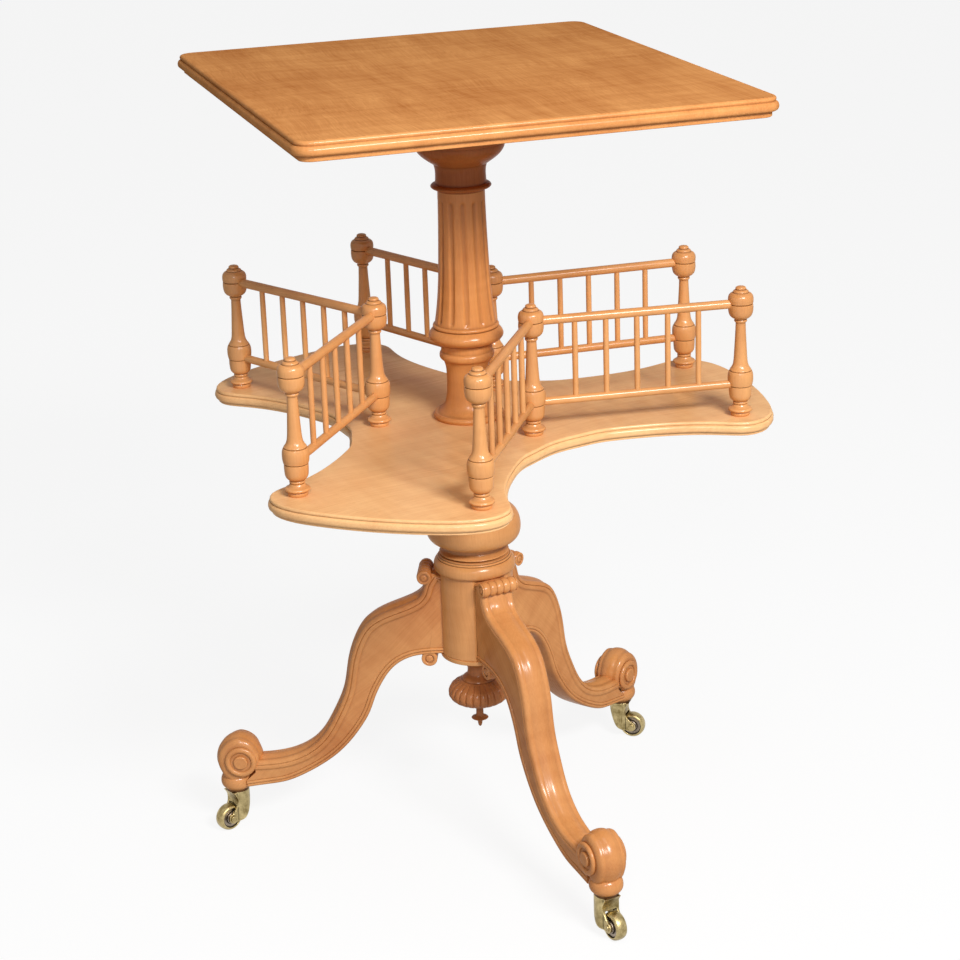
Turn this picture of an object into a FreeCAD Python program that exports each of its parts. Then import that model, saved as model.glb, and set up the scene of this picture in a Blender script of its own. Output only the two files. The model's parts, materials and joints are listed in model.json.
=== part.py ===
import FreeCAD, Part
import math
import os

# Revolving book table. A moulded top stands on a fluted column over a shelf of three lobes with
# turned galleries. They turn together on a stand with three scrolled legs on castors.
# Lengths are in millimetres and angles in degrees. The origin is on the turning axis at floor
# level, +Z is up and +X runs along the short side of the top.

# Heights of the pieces that stand on each other, from the floor up
castor_height = 45.0
block_rise = 154.5
block_height = 88.0
collar_height = 16.5
washer_thickness = 1.5
bowl_height = 127.2
shelf_thickness = 14.0
column_height = 225.0
capital_height = 92.0
top_thickness = 18.0

# Clearances
running_gap = 0.3
turning_clearance = 0.05
joint_clearance = 0.05
cut_overrun = 5.0

# Top
top_width = 436.0
top_depth = 507.0
top_corner_radius = 18.0
top_edge_inset = 6.0
top_foot_height = 5.0

# Shelf
shelf_turn = -4.25
lobe_reach = 296.0
lobe_half_width = 113.0
bay_radius = 121.0
shelf_edge_inset = 3.4
shelf_foot_height = 3.2

# Galleries
post_height = 128.4
post_radius = 12.3
outer_post_distance = 264.0
outer_post_angle = 18.95
inner_post_distance = 89.6
post_tenon_radius = 5.0
post_tenon_depth = 10.0
top_rail_radius = 4.4
bottom_rail_radius = 4.0
top_rail_height = 111.4
bottom_rail_height = 31.8
rail_tenon_depth = 5.0
spindle_radius = 2.8
spindle_count = 5
spindle_tenon_depth = 2.4
spindle_end_share = 1.0

# Column and capital
column_radius = 36.2
column_tenon_radius = 16.0
column_tenon_depth = 32.0
flute_count = 12
flute_turn = 15.0
flute_radius = 3.6
flute_depth = 1.5
capital_radius = 85.0
capital_tenon_radius = 12.0
capital_tenon_depth = 34.0
capital_rim_share = 0.9

# Turning joint
bowl_radius = 62.0
bowl_rim_share = 0.905
spindle_rod_radius = 9.0
spindle_rod_foot = 14.0
bush_radius = 13.0
bush_length = 25.0
lower_bush_rise = 3.0
upper_bush_rise = 64.0
nut_pocket_radius = 19.0
nut_radius = 15.0
nut_thickness = 8.0
rod_above_nut = 1.5
washer_radius = 27.0

# Pedestal
collar_radius = 41.0
block_radius = 38.0
cap_radius = 37.5
cap_height = 5.0
drop_radius = 31.2
drop_height = 54.5
drop_groove_count = 24
drop_groove_radius = 2.2
drop_groove_depth = 1.2
drop_spigot_radius = 7.0
drop_spigot_length = 11.0
tip_radius = 8.7
tip_height = 28.0
tip_spigot_radius = 3.0
tip_spigot_length = 10.0

# Legs
leg_angles = (-80.9, 34.9, 158.6)
leg_seat = 33.0
foot_distance = 256.0
leg_seat_half_width = 18.0
leg_knee_half_width = 16.0
leg_ankle_half_width = 14.0
leg_edge_radius = 3.0
roll_radius = 7.5
roll_half_width = 19.5
roll_distance = 50.0
roll_drop = 4.5
inner_scroll_radius = 8.0
inner_scroll_half_width = 16.0
eye_ring_radius = 15.5
eye_ring_half_width = 19.5
eye_radius = 7.3
eye_half_width = 22.0
pad_radius = 16.5
pad_height = 18.0
dowel_radius = 4.0
dowel_length = 40.0
dowel_inner_end = 16.0
dowel_rise_shares = (0.25, 0.6)

# Castors
wheel_radius = 14.0
wheel_width = 12.0
wheel_recess_radius = 10.6
wheel_recess_depth = 1.6
hub_radius = 6.0
hub_width = 12.6
castor_trail = 14.0
castor_turns = (-77.0, -37.0, 205.0)
plate_radius = 12.0
plate_thickness = 2.5
stem_radius = 4.0
stem_head_radius = 5.6
stem_head_thickness = 1.6
crown_radius = 12.0
crown_height = 11.5
cheek_gap = 0.5
cheek_thickness = 2.5
cheek_end_radius = 5.3
wheel_slot_room = 1.2
axle_radius = 2.0
axle_head_radius = 3.2
axle_head_thickness = 1.0

# Screws
screw_radius = 2.0
screw_head_radius = 4.0
screw_head_height = 2.2
screw_slot_width = 0.9
screw_slot_depth = 0.8
top_screw_count = 4
top_screw_distance = 74.0
top_screw_length = 19.0
top_screw_turn = 45.0
bowl_screw_count = 3
bowl_screw_distance = 53.0
bowl_screw_length = 19.0
plate_screw_count = 3
plate_screw_distance = 8.4
plate_screw_length = 12.0
plate_screw_radius = 1.2
plate_screw_head_radius = 2.2
plate_screw_head_height = 1.2
plate_screw_turn = 60.0

# Outlines of turned pieces, as shares of the radius and height of each. A run of two points is
# a straight line and a longer run is a smooth curve.
post_shares = (
    ((0.7, 0.0), (0.75, 0.017), (0.7, 0.034)),
    ((0.7, 0.034), (0.88, 0.038)),
    ((0.88, 0.038), (0.94, 0.049), (0.86, 0.06)),
    ((0.86, 0.06), (0.69, 0.069), (0.54, 0.088)),
    ((0.54, 0.088), (0.58, 0.101), (0.53, 0.113)),
    ((0.53, 0.113), (0.7, 0.124), (0.82, 0.14), (0.88, 0.17), (0.9, 0.2), (0.9, 0.229)),
    ((0.9, 0.229), (0.85, 0.233)),
    ((0.85, 0.233), (0.93, 0.238)),
    ((0.93, 0.238), (0.985, 0.265), (1.0, 0.295), (0.98, 0.325), (0.91, 0.346)),
    ((0.91, 0.346), (0.83, 0.351)),
    ((0.83, 0.351), (0.72, 0.372), (0.62, 0.395), (0.55, 0.43), (0.505, 0.49), (0.465, 0.56),
     (0.42, 0.64), (0.39, 0.72)),
    ((0.39, 0.72), (0.47, 0.729)),
    ((0.47, 0.729), (0.51, 0.738), (0.47, 0.748)),
    ((0.47, 0.748), (0.7, 0.762), (0.87, 0.78), (0.96, 0.808), (0.985, 0.84), (0.97, 0.863)),
    ((0.97, 0.863), (0.89, 0.8675)),
    ((0.89, 0.8675), (0.97, 0.872)),
    ((0.97, 0.872), (0.995, 0.895), (0.97, 0.92), (0.86, 0.94), (0.68, 0.951)),
    ((0.68, 0.951), (0.62, 0.953)),
    ((0.62, 0.953), (0.56, 0.968), (0.42, 0.976)),
    ((0.42, 0.976), (0.36, 0.993), (0.18, 1.0)),
)
column_shares = (
    ((0.91, 0.0), (0.955, 0.013), (0.91, 0.027)),
    ((0.91, 0.027), (0.83, 0.027)),
    ((0.83, 0.027), (0.69, 0.05), (0.595, 0.09), (0.565, 0.145), (0.565, 0.2), (0.595, 0.24),
     (0.64, 0.26)),
    ((0.64, 0.26), (0.72, 0.27), (0.735, 0.282), (0.72, 0.293), (0.685, 0.3)),
    ((0.685, 0.3), (0.695, 0.338)),
    ((0.695, 0.338), (0.86, 0.344), (0.965, 0.357), (1.0, 0.37), (0.972, 0.385), (0.89, 0.402)),
    ((0.89, 0.402), (0.855, 0.405)),
    ((0.855, 0.405), (0.845, 0.425), (0.785, 0.47), (0.73, 0.545), (0.683, 0.67), (0.645, 0.845),
     (0.625, 1.0)),
)
capital_shares = (
    ((0.268, 0.0), (0.272, 0.02)),
    ((0.272, 0.02), (0.315, 0.032), (0.326, 0.048), (0.315, 0.064), (0.288, 0.076)),
    ((0.288, 0.076), (0.284, 0.15), (0.286, 0.22), (0.3, 0.277)),
    ((0.3, 0.277), (0.368, 0.32), (0.44, 0.372), (0.482, 0.418), (0.502, 0.46), (0.508, 0.5)),
    ((0.508, 0.5), (0.53, 0.51)),
    ((0.53, 0.51), (0.53, 0.56)),
    ((0.53, 0.56), (0.6, 0.7), (0.75, 0.82), (0.95, 0.89)),
    ((0.95, 0.89), (0.99, 0.915), (1.0, 0.945), (0.99, 1.0)),
)
bowl_shares = (
    ((0.55, 0.0), (0.56, 0.007), (0.545, 0.013)),
    ((0.545, 0.013), (0.505, 0.021), (0.478, 0.031), (0.467, 0.046), (0.471, 0.066)),
    ((0.471, 0.066), (0.484, 0.072)),
    ((0.484, 0.072), (0.532, 0.079), (0.621, 0.092), (0.71, 0.123), (0.753, 0.167), (0.763, 0.214),
     (0.742, 0.277), (0.7, 0.32), (0.6, 0.365)),
    ((0.6, 0.365), (0.56, 0.37)),
    ((0.56, 0.37), (0.56, 0.4)),
    ((0.56, 0.4), (0.49, 0.47), (0.47, 0.56), (0.5, 0.68), (0.62, 0.8), (0.86, 0.89)),
    ((0.86, 0.89), (0.97, 0.905), (1.0, 0.94), (0.98, 1.0)),
)
collar_shares = (
    ((0.965, 0.0), (0.985, 0.08), (1.0, 0.3), (0.985, 0.52), (0.945, 0.7), (0.915, 0.78)),
    ((0.915, 0.78), (0.895, 0.8)),
    ((0.895, 0.8), (0.9, 0.86), (0.885, 0.91)),
    ((0.885, 0.91), (0.865, 0.93)),
    ((0.865, 0.93), (0.86, 1.0)),
)
cap_shares = (
    ((0.945, 0.0), (0.98, 0.15), (0.99, 0.4)),
    ((0.99, 0.4), (1.0, 1.0)),
)
drop_shares = (
    ((0.2, 0.0), (0.55, 0.012), (0.82, 0.06), (0.95, 0.125), (1.0, 0.19), (0.985, 0.27),
     (0.89, 0.36), (0.74, 0.415), (0.575, 0.473)),
    ((0.575, 0.473), (0.55, 0.48)),
    ((0.55, 0.48), (0.51, 0.52), (0.42, 0.56), (0.37, 0.59)),
    ((0.37, 0.59), (0.35, 0.65), (0.37, 0.76), (0.46, 0.88), (0.62, 1.0)),
)
tip_shares = (
    ((0.1, 0.0), (0.2, 0.06), (0.28, 0.2)),
    ((0.28, 0.2), (0.6, 0.29), (1.0, 0.357), (0.6, 0.43), (0.43, 0.5)),
    ((0.43, 0.5), (0.42, 1.0)),
)
pad_shares = (
    ((0.75, 0.0), (0.93, 0.16), (1.0, 0.4), (0.9, 0.75), (0.6, 1.0)),
)
wheel_shares = (
    ((0.8, 0.0), (0.92, 0.08), (0.985, 0.28), (1.0, 0.5), (0.985, 0.72), (0.92, 0.92), (0.8, 1.0)),
)

# Line of a flute on the column and of a groove on the drop, as shares of their radii and heights
flute_line_shares = (
    (0.82, 0.444), (0.782, 0.473), (0.73, 0.545), (0.683, 0.67), (0.645, 0.845), (0.628, 0.951),
)
drop_groove_shares = ((0.84, 0.07), (1.0, 0.19), (0.95, 0.32), (0.74, 0.415), (0.6, 0.46))

# Moulded edges of top and shelf, as shares of their inset and of the height above their foot
top_edge_shares = (
    (0.5, 0.0), (0.1, 0.14), (0.0, 0.35), (0.1, 0.55), (0.45, 0.69), (0.6, 0.88), (1.0, 1.0),
)
shelf_edge_shares = ((0.4, 0.0), (0.0, 0.22), (0.0, 0.55), (0.35, 0.74), (1.0, 1.0))

# Half a shelf lobe, from its tip round to its side, as shares of the reach and half width
lobe_shares = (
    (0.986, 0.487), (0.956, 0.779), (0.905, 0.947), (0.841, 1.0), (0.764, 0.93), (0.676, 0.84),
    (0.557, 0.78), (0.439, 0.762), (0.361, 0.776), (0.311, 0.818), (0.27, 0.854),
)

# Side of a leg, as shares of the way out from seat to foot and up from foot to collar
leg_upper_shares = (
    (0.054, 1.0), (0.085, 0.953), (0.103, 0.907), (0.17, 0.864), (0.269, 0.827), (0.354, 0.777),
    (0.41, 0.695), (0.444, 0.6), (0.471, 0.472), (0.522, 0.361), (0.59, 0.258), (0.697, 0.1835),
    (0.809, 0.155), (0.906, 0.148),
)
leg_lower_shares = (
    (0.942, 0.014), (0.852, 0.027), (0.758, 0.043), (0.664, 0.08), (0.57, 0.132), (0.502, 0.181),
    (0.439, 0.243), (0.39, 0.305), (0.35, 0.371), (0.323, 0.437), (0.291, 0.499), (0.224, 0.581),
    (0.139, 0.623), (0.058, 0.635),
)
leg_toe_share = 0.98
toe_rise_share = 0.06
knee_share = 0.42
ankle_share = 0.9
inner_scroll_share = (0.067, 0.614)
foot_scroll_shares = (
    (0.87, 0.161), (0.879, 0.1835), (0.901, 0.221), (0.937, 0.245), (0.975, 0.254), (1.018, 0.241),
    (1.058, 0.208), (1.081, 0.167), (1.085, 0.126), (1.072, 0.087), (1.054, 0.056), (1.027, 0.033),
)
foot_scroll_heel_share = (0.897, 0.033)
scroll_rim_share = 0.3
eye_share = (0.964, 0.142)

# Side of a castor's horn, as shares of the trail and of its height above the axle
horn_back_shares = (
    (-0.857, 1.0), (-0.714, 0.674), (-0.43, 0.284), (0.0, -0.053), (0.55, -0.165), (1.0, -0.187),
)
horn_front_shares = ((1.036, 0.188), (0.68, 0.372), (0.5, 0.603), (0.607, 0.816), (0.857, 1.0))

# Levels and sizes worked out from these values
foot_level = castor_height
block_level = foot_level + block_rise
collar_level = block_level + block_height
washer_level = collar_level + collar_height
bowl_level = washer_level + washer_thickness + running_gap
shelf_level = bowl_level + bowl_height
shelf_top_level = shelf_level + shelf_thickness
column_top_level = shelf_top_level + column_height
top_level = column_top_level + capital_height
drop_top_level = block_level - cap_height
tip_top_level = drop_top_level - drop_height
nut_level = bowl_level + upper_bush_rise + bush_length + running_gap
rod_top_level = nut_level + nut_thickness + rod_above_nut
rod_foot_level = block_level + spindle_rod_foot
top_screw_level = column_top_level + capital_height * capital_rim_share
bowl_screw_level = bowl_level + bowl_height * bowl_rim_share
plate_level = castor_height - plate_thickness
crown_level = plate_level - running_gap - crown_height
stem_head_level = crown_level - running_gap - stem_head_thickness
leg_run = foot_distance - leg_seat
leg_rise = collar_level - foot_level
leg_wall = 2 * (leg_seat_half_width + cut_overrun)
slot_half_width = wheel_width / 2 + cheek_gap
fork_half_width = slot_half_width + cheek_thickness

origin = FreeCAD.Vector(0, 0, 0)
up = FreeCAD.Vector(0, 0, 1)
sideways = FreeCAD.Vector(0, 1, 0)


def joined(runs):
    """Edges along runs of points: a straight one for two points, a smooth curve for more."""
    edges = []
    for run in runs:
        if len(run) == 2:
            edges.append(Part.makeLine(run[0], run[1]))
        else:
            curve = Part.BSplineCurve()
            curve.interpolate(list(run))
            edges.append(curve.toShape())
    return edges


def turned(shares, radius, height, level):
    """A turned solid whose outline is given in shares of its radius and height."""
    runs = []
    for run in shares:
        runs.append([FreeCAD.Vector(r * radius, 0, level + z * height) for r, z in run])
    first = runs[0][0]
    last = runs[-1][-1]
    foot = FreeCAD.Vector(0, 0, first.z)
    head = FreeCAD.Vector(0, 0, last.z)
    edges = [Part.makeLine(foot, first)] + joined(runs)
    edges += [Part.makeLine(last, head), Part.makeLine(head, foot)]
    return Part.Face(Part.Wire(edges)).revolve(origin, up, 360).Solids[0]


def rod(radius, length, level, x=0, y=0):
    """An upright cylinder."""
    return Part.makeCylinder(radius, length, FreeCAD.Vector(x, y, level), up)


def bar(radius, start, end):
    """A cylinder from one point to another."""
    run = end.sub(start)
    return Part.makeCylinder(radius, run.Length, start, run)


def cross_rod(radius, half_length, centre):
    """A cylinder along Y with its middle at a point."""
    return Part.makeCylinder(radius, 2 * half_length, centre.sub(sideways * half_length), sideways)


def turn(shape, degrees):
    """A copy of a shape, turned about the table's axis."""
    copy = shape.copy()
    copy.rotate(origin, up, degrees)
    return copy


def place(distance, degrees, level):
    """A point at a distance and an angle from the table's axis."""
    angle = math.radians(degrees)
    return FreeCAD.Vector(distance * math.cos(angle), distance * math.sin(angle), level)


def cut_all(body, cutters):
    """A body with several cutters taken away."""
    for cutter in cutters:
        body = body.cut(cutter)
    return body


def moulded_slab(outline, edge_shares, inset, foot_height, level, thickness):
    """A slab with a set-back foot and a moulded edge above it."""
    nose = level + foot_height
    height = thickness - foot_height
    rings = [(share * inset, nose + rise * height) for share, rise in edge_shares]
    foot = Part.makeLoft([outline(inset, level), outline(inset, nose)], True, True)
    edge = Part.makeLoft([outline(ring_inset, rise) for ring_inset, rise in rings], True, True)
    return foot.fuse(edge).removeSplitter()


def groove(shares, groove_radius, depth, radius, height, level):
    """The cutter of one round-ended groove along a turned piece."""
    out = groove_radius - depth
    path = [FreeCAD.Vector(r * radius + out, 0, level + z * height) for r, z in shares]
    pieces = []
    for start, end in zip(path, path[1:]):
        pieces.append(bar(groove_radius, start, end))
        pieces.append(Part.makeSphere(groove_radius, end))
    return Part.makeSphere(groove_radius, path[0]).fuse(pieces)


def screw(radius, head_radius, head_height, length):
    """A slotted countersunk screw with its head at the origin and its point up."""
    head = Part.makeCone(head_radius, radius, head_height)
    body = head.fuse(rod(radius, length - head_height, head_height))
    slot = Part.makeBox(2 * head_radius, screw_slot_width, screw_slot_depth)
    slot.translate(FreeCAD.Vector(-head_radius, -screw_slot_width / 2, 0))
    return body.cut(slot).removeSplitter()


def screw_hole(radius, head_radius, head_height, length):
    """The hole that such a screw fills, open below its head."""
    head = Part.makeCone(head_radius + joint_clearance, radius + joint_clearance, head_height)
    shank = rod(radius + joint_clearance, length + joint_clearance, 0)
    mouth = rod(head_radius + joint_clearance, cut_overrun, -cut_overrun)
    return head.fuse([shank, mouth])


def ring_of(shape, count, distance, level, first):
    """Copies of a shape, evenly spaced on a circle round the axis."""
    copies = []
    for number in range(count):
        copy = shape.copy()
        copy.translate(place(distance, first + 360.0 * number / count, level))
        copies.append(copy)
    return copies


# Top

def top_outline(inset, level):
    """The outline of the top: a rectangle with rounded corners."""
    radius = top_corner_radius - inset
    reach_x = top_width / 2 - top_corner_radius
    reach_y = top_depth / 2 - top_corner_radius
    corners = []
    for side_x, side_y, start in ((1, 1, 0), (-1, 1, 90), (-1, -1, 180), (1, -1, 270)):
        centre = FreeCAD.Vector(side_x * reach_x, side_y * reach_y, level)
        corners.append(Part.makeCircle(radius, centre, up, start, start + 90))
    edges = []
    for number, corner in enumerate(corners):
        following = corners[(number + 1) % len(corners)]
        edges.append(corner)
        edges.append(Part.makeLine(corner.Vertexes[-1].Point, following.Vertexes[0].Point))
    return Part.Wire(edges)


def top_screw_ring(make):
    """The screws that hold the top to the capital, or their holes."""
    one = make(screw_radius, screw_head_radius, screw_head_height, top_screw_length)
    return ring_of(one, top_screw_count, top_screw_distance, top_screw_level, top_screw_turn)


def tabletop():
    """The top: a full round and a bead over a set-back foot."""
    slab = moulded_slab(top_outline, top_edge_shares, top_edge_inset, top_foot_height, top_level,
                        top_thickness)
    return cut_all(slab, top_screw_ring(screw_hole))


def top_screws():
    return Part.makeCompound(top_screw_ring(screw))


# Column

def capital():
    """The turned capital that carries the top, with a ring at its neck."""
    body = turned(capital_shares, capital_radius, capital_height, column_top_level)
    socket = rod(capital_tenon_radius + joint_clearance, capital_tenon_depth, column_top_level)
    return cut_all(body.cut(socket), top_screw_ring(screw_hole))


def column_shaft():
    """The fluted shaft, with a tenon at each end."""
    body = turned(column_shares, column_radius, column_height, shelf_top_level)
    foot_tenon = rod(column_tenon_radius, column_tenon_depth, shelf_top_level - column_tenon_depth)
    head_tenon = rod(capital_tenon_radius, capital_tenon_depth - joint_clearance, column_top_level)
    body = body.fuse([foot_tenon, head_tenon])
    flute = groove(flute_line_shares, flute_radius, flute_depth, column_radius, column_height,
                   shelf_top_level)
    step = 360.0 / flute_count
    return cut_all(body, [turn(flute, flute_turn + step * number) for number in range(flute_count)])


# Shelf

def lobe_points():
    """Points round the whole outline of the shelf, in order."""
    half = [(along * lobe_reach, across * lobe_half_width) for along, across in lobe_shares]
    bay = place(bay_radius, 60.0, 0)
    chain = [(x, -y) for x, y in reversed(half)] + [(lobe_reach, 0)] + half + [(bay.x, bay.y)]
    points = []
    for lobe in range(3):
        for x, y in chain:
            angle = math.degrees(math.atan2(y, x)) + shelf_turn + 120.0 * lobe
            points.append(place(math.hypot(x, y), angle, 0))
    return points


def shelf_outline(inset, level):
    """The outline of the shelf at an inset: one closed smooth curve."""
    points = lobe_points()
    moved = []
    for number, point in enumerate(points):
        run = points[(number + 1) % len(points)].sub(points[number - 1])
        run.normalize()
        inward = FreeCAD.Vector(-run.y, run.x, 0) * inset
        moved.append(point.add(inward).add(up * level))
    curve = Part.BSplineCurve()
    curve.interpolate(Points=moved, PeriodicFlag=True)
    return Part.Wire([curve.toShape()])


def post_axis(number, inner):
    """The foot of a post's axis on the shelf. Posts are numbered round the table."""
    if inner:
        return place(inner_post_distance, shelf_turn + 60.0 + 120.0 * number, shelf_top_level)
    side = 1 if number % 2 else -1
    angle = shelf_turn + 120.0 * (number // 2) + side * outer_post_angle
    return place(outer_post_distance, angle, shelf_top_level)


def bowl_screw_ring(make):
    """The screws that hold the bowl to the shelf, or their holes."""
    one = make(screw_radius, screw_head_radius, screw_head_height, bowl_screw_length)
    return ring_of(one, bowl_screw_count, bowl_screw_distance, bowl_screw_level, shelf_turn)


def shelf():
    """The shelf of three lobes, with a moulded edge and the mortises of posts and column."""
    slab = moulded_slab(shelf_outline, shelf_edge_shares, shelf_edge_inset, shelf_foot_height,
                        shelf_level, shelf_thickness)
    hole_length = shelf_thickness + 2 * cut_overrun
    cutters = [rod(column_tenon_radius + joint_clearance, hole_length, shelf_level - cut_overrun)]
    mortise = shelf_top_level - post_tenon_depth - joint_clearance
    spots = [post_axis(number, False) for number in range(6)]
    spots += [post_axis(number, True) for number in range(3)]
    for spot in spots:
        cutters.append(rod(post_tenon_radius + joint_clearance, hole_length, mortise, spot.x, spot.y))
    return cut_all(slab, cutters + bowl_screw_ring(screw_hole))


# Galleries

def panels():
    """The inner and the outer post of each gallery panel, by their numbers."""
    pairs = []
    for lobe in range(3):
        pairs.append(((lobe + 2) % 3, 2 * lobe))
        pairs.append((lobe, 2 * lobe + 1))
    return pairs


def rail_ends(pair, height):
    """The two ends of a rail's axis, each in the middle of its post."""
    lift = up * height
    return post_axis(pair[0], True).add(lift), post_axis(pair[1], False).add(lift)


def post_reach(height):
    """The radius of a post at a height above the shelf."""
    share = height / post_height
    best = 0
    for run in post_shares:
        for (r0, z0), (r1, z1) in zip(run, run[1:]):
            if z0 <= share <= z1 and z1 > z0:
                best = max(best, r0 + (r1 - r0) * (share - z0) / (z1 - z0))
    return best * post_radius


def rail(pair, height, radius, room=0):
    """A round rail with its ends let into the posts, or the hole for it."""
    start, end = rail_ends(pair, height)
    run = end.sub(start)
    run.normalize()
    buried = post_reach(height) - rail_tenon_depth - room
    return bar(radius + room, start.add(run * buried), end.sub(run * buried))


def post(number, inner):
    """A turned post with a tenon below and sockets for its rails."""
    axis = post_axis(number, inner)
    body = turned(post_shares, post_radius, post_height, shelf_top_level)
    body = body.fuse(rod(post_tenon_radius, post_tenon_depth, shelf_top_level - post_tenon_depth))
    body.translate(FreeCAD.Vector(axis.x, axis.y, 0))
    cutters = []
    for pair in panels():
        if pair[0 if inner else 1] == number:
            cutters.append(rail(pair, top_rail_height, top_rail_radius, joint_clearance))
            cutters.append(rail(pair, bottom_rail_height, bottom_rail_radius, joint_clearance))
    return cut_all(body, cutters)


def spindle_places(pair):
    """Where the spindles stand along a panel, with more room at the two ends."""
    start, end = rail_ends(pair, 0)
    run = end.sub(start)
    edge = post_reach(bottom_rail_height)
    step = (run.Length - 2 * edge) / (spindle_count - 1 + 2 * spindle_end_share)
    run.normalize()
    first = edge + step * spindle_end_share
    return [start.add(run * (first + step * number)) for number in range(spindle_count)]


def spindle(spot, room=0):
    """One spindle, let into the rails below and above, or the hole for it."""
    low = bottom_rail_height + bottom_rail_radius - spindle_tenon_depth - room
    high = top_rail_height - top_rail_radius + spindle_tenon_depth + room
    return rod(spindle_radius + room, high - low, shelf_top_level + low, spot.x, spot.y)


def bored_rail(pair, height, radius):
    """A rail with the holes of its spindles."""
    holes = [spindle(spot, joint_clearance) for spot in spindle_places(pair)]
    return cut_all(rail(pair, height, radius), holes)


def spindles(pair):
    return Part.makeCompound([spindle(spot) for spot in spindle_places(pair)])


# Turning joint

def turntable_bowl():
    """The turned bowl under the shelf, bored for its bushes, the nut and the column's tenon."""
    body = turned(bowl_shares, bowl_radius, bowl_height, bowl_level)
    bore = rod(bush_radius + joint_clearance, bowl_height, bowl_level - cut_overrun)
    tenon_level = shelf_top_level - column_tenon_depth - joint_clearance
    pocket_level = nut_level - running_gap
    pocket = rod(nut_pocket_radius, tenon_level - pocket_level, pocket_level)
    socket = rod(column_tenon_radius + joint_clearance, column_tenon_depth, tenon_level)
    return cut_all(body, [bore, pocket, socket] + bowl_screw_ring(screw_hole))


def bowl_screws():
    return Part.makeCompound(bowl_screw_ring(screw))


def pivot_bushes():
    """The two bushes in the bowl, which turn on the spindle rod."""
    bushes = []
    for rise in (lower_bush_rise, upper_bush_rise):
        outer = rod(bush_radius, bush_length, bowl_level + rise)
        bore_length = bush_length + 2 * cut_overrun
        bore_foot = bowl_level + rise - cut_overrun
        bushes.append(outer.cut(rod(spindle_rod_radius + turning_clearance, bore_length, bore_foot)))
    return Part.makeCompound(bushes)


def pivot_spindle():
    """The fixed rod that the upper part turns on."""
    return rod(spindle_rod_radius, rod_top_level - rod_foot_level, rod_foot_level)


def retaining_nut():
    """The nut that keeps the upper part from lifting off."""
    corners = [place(nut_radius, 60.0 * number, nut_level) for number in range(7)]
    prism = Part.Face(Part.makePolygon(corners)).extrude(up * nut_thickness)
    hole_length = nut_thickness + 2 * cut_overrun
    return prism.cut(rod(spindle_rod_radius, hole_length, nut_level - cut_overrun))


def rod_hole(foot, head):
    """The hole of the spindle rod from one level to another."""
    return rod(spindle_rod_radius + joint_clearance, head - foot, foot)


def thrust_washer():
    """The washer that the bowl turns on."""
    outer = rod(washer_radius, washer_thickness, washer_level)
    return outer.cut(rod_hole(washer_level - cut_overrun, bowl_level + cut_overrun))


# Pedestal

def pedestal_collar():
    """The turned collar over the block."""
    body = turned(collar_shares, collar_radius, collar_height, collar_level)
    return body.cut(rod_hole(collar_level - cut_overrun, washer_level + cut_overrun))


def leg_dowel_ends():
    """Start and end of each dowel between a leg and the block."""
    ends = []
    for angle in leg_angles:
        for share in dowel_rise_shares:
            level = block_level + block_height * share
            start = place(dowel_inner_end, angle, level)
            ends.append((start, place(dowel_inner_end + dowel_length, angle, level)))
    return ends


def dowel_holes():
    return [bar(dowel_radius + joint_clearance, start, end) for start, end in leg_dowel_ends()]


def leg_dowels():
    return Part.makeCompound([bar(dowel_radius, start, end) for start, end in leg_dowel_ends()])


def drop_socket():
    """The socket of the drop's spigot, through the cap and into the block."""
    return rod(drop_spigot_radius + joint_clearance, cap_height + drop_spigot_length, drop_top_level)


def pedestal_block():
    """The round block that holds the legs, with a flat seat for each."""
    body = rod(block_radius, block_height, block_level)
    cutters = [rod_hole(rod_foot_level, collar_level + cut_overrun), drop_socket()]
    for angle in leg_angles:
        seat = Part.makeBox(block_radius, 2 * block_radius, block_height + 2 * cut_overrun)
        seat.translate(FreeCAD.Vector(leg_seat, -block_radius, block_level - cut_overrun))
        cutters.append(turn(seat, angle))
    return cut_all(body, cutters + dowel_holes())


def pedestal_cap():
    """The moulded plate under the block."""
    return turned(cap_shares, cap_radius, cap_height, drop_top_level).cut(drop_socket())


def drop_finial():
    """The fluted drop under the stand, with a spigot above and a socket for its tip."""
    body = turned(drop_shares, drop_radius, drop_height, tip_top_level)
    spigot_length = cap_height + drop_spigot_length - joint_clearance
    body = body.fuse(rod(drop_spigot_radius, spigot_length, drop_top_level))
    cutter = groove(drop_groove_shares, drop_groove_radius, drop_groove_depth, drop_radius,
                    drop_height, tip_top_level)
    step = 360.0 / drop_groove_count
    body = cut_all(body, [turn(cutter, step * number) for number in range(drop_groove_count)])
    return body.cut(rod(tip_spigot_radius + joint_clearance, tip_spigot_length, tip_top_level))


def finial_tip():
    """The small turned drop at the very bottom."""
    body = turned(tip_shares, tip_radius, tip_height, tip_top_level - tip_height)
    return body.fuse(rod(tip_spigot_radius, tip_spigot_length - joint_clearance, tip_top_level))


# Legs

def leg_point(share, across=0):
    """A point on the side of a leg that stands along +X."""
    return FreeCAD.Vector(leg_seat + share[0] * leg_run, across, foot_level + share[1] * leg_rise)


def leg_side():
    """The leg's S-shaped side as a wall wider than the leg."""
    across = -leg_wall / 2
    upper = [leg_point(share, across) for share in leg_upper_shares]
    lower = [leg_point(share, across) for share in leg_lower_shares]
    toe_top = leg_point((leg_toe_share, toe_rise_share), across)
    toe = leg_point((leg_toe_share, leg_lower_shares[0][1]), across)
    seat_low = FreeCAD.Vector(leg_seat, across, block_level)
    seat_high = FreeCAD.Vector(leg_seat, across, collar_level)
    edges = joined((
        upper, (upper[-1], toe_top), (toe_top, toe), (toe, lower[0]), lower, (lower[-1], seat_low),
        (seat_low, seat_high), (seat_high, upper[0]),
    ))
    return Part.Face(Part.Wire(edges)).extrude(sideways * leg_wall)


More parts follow.
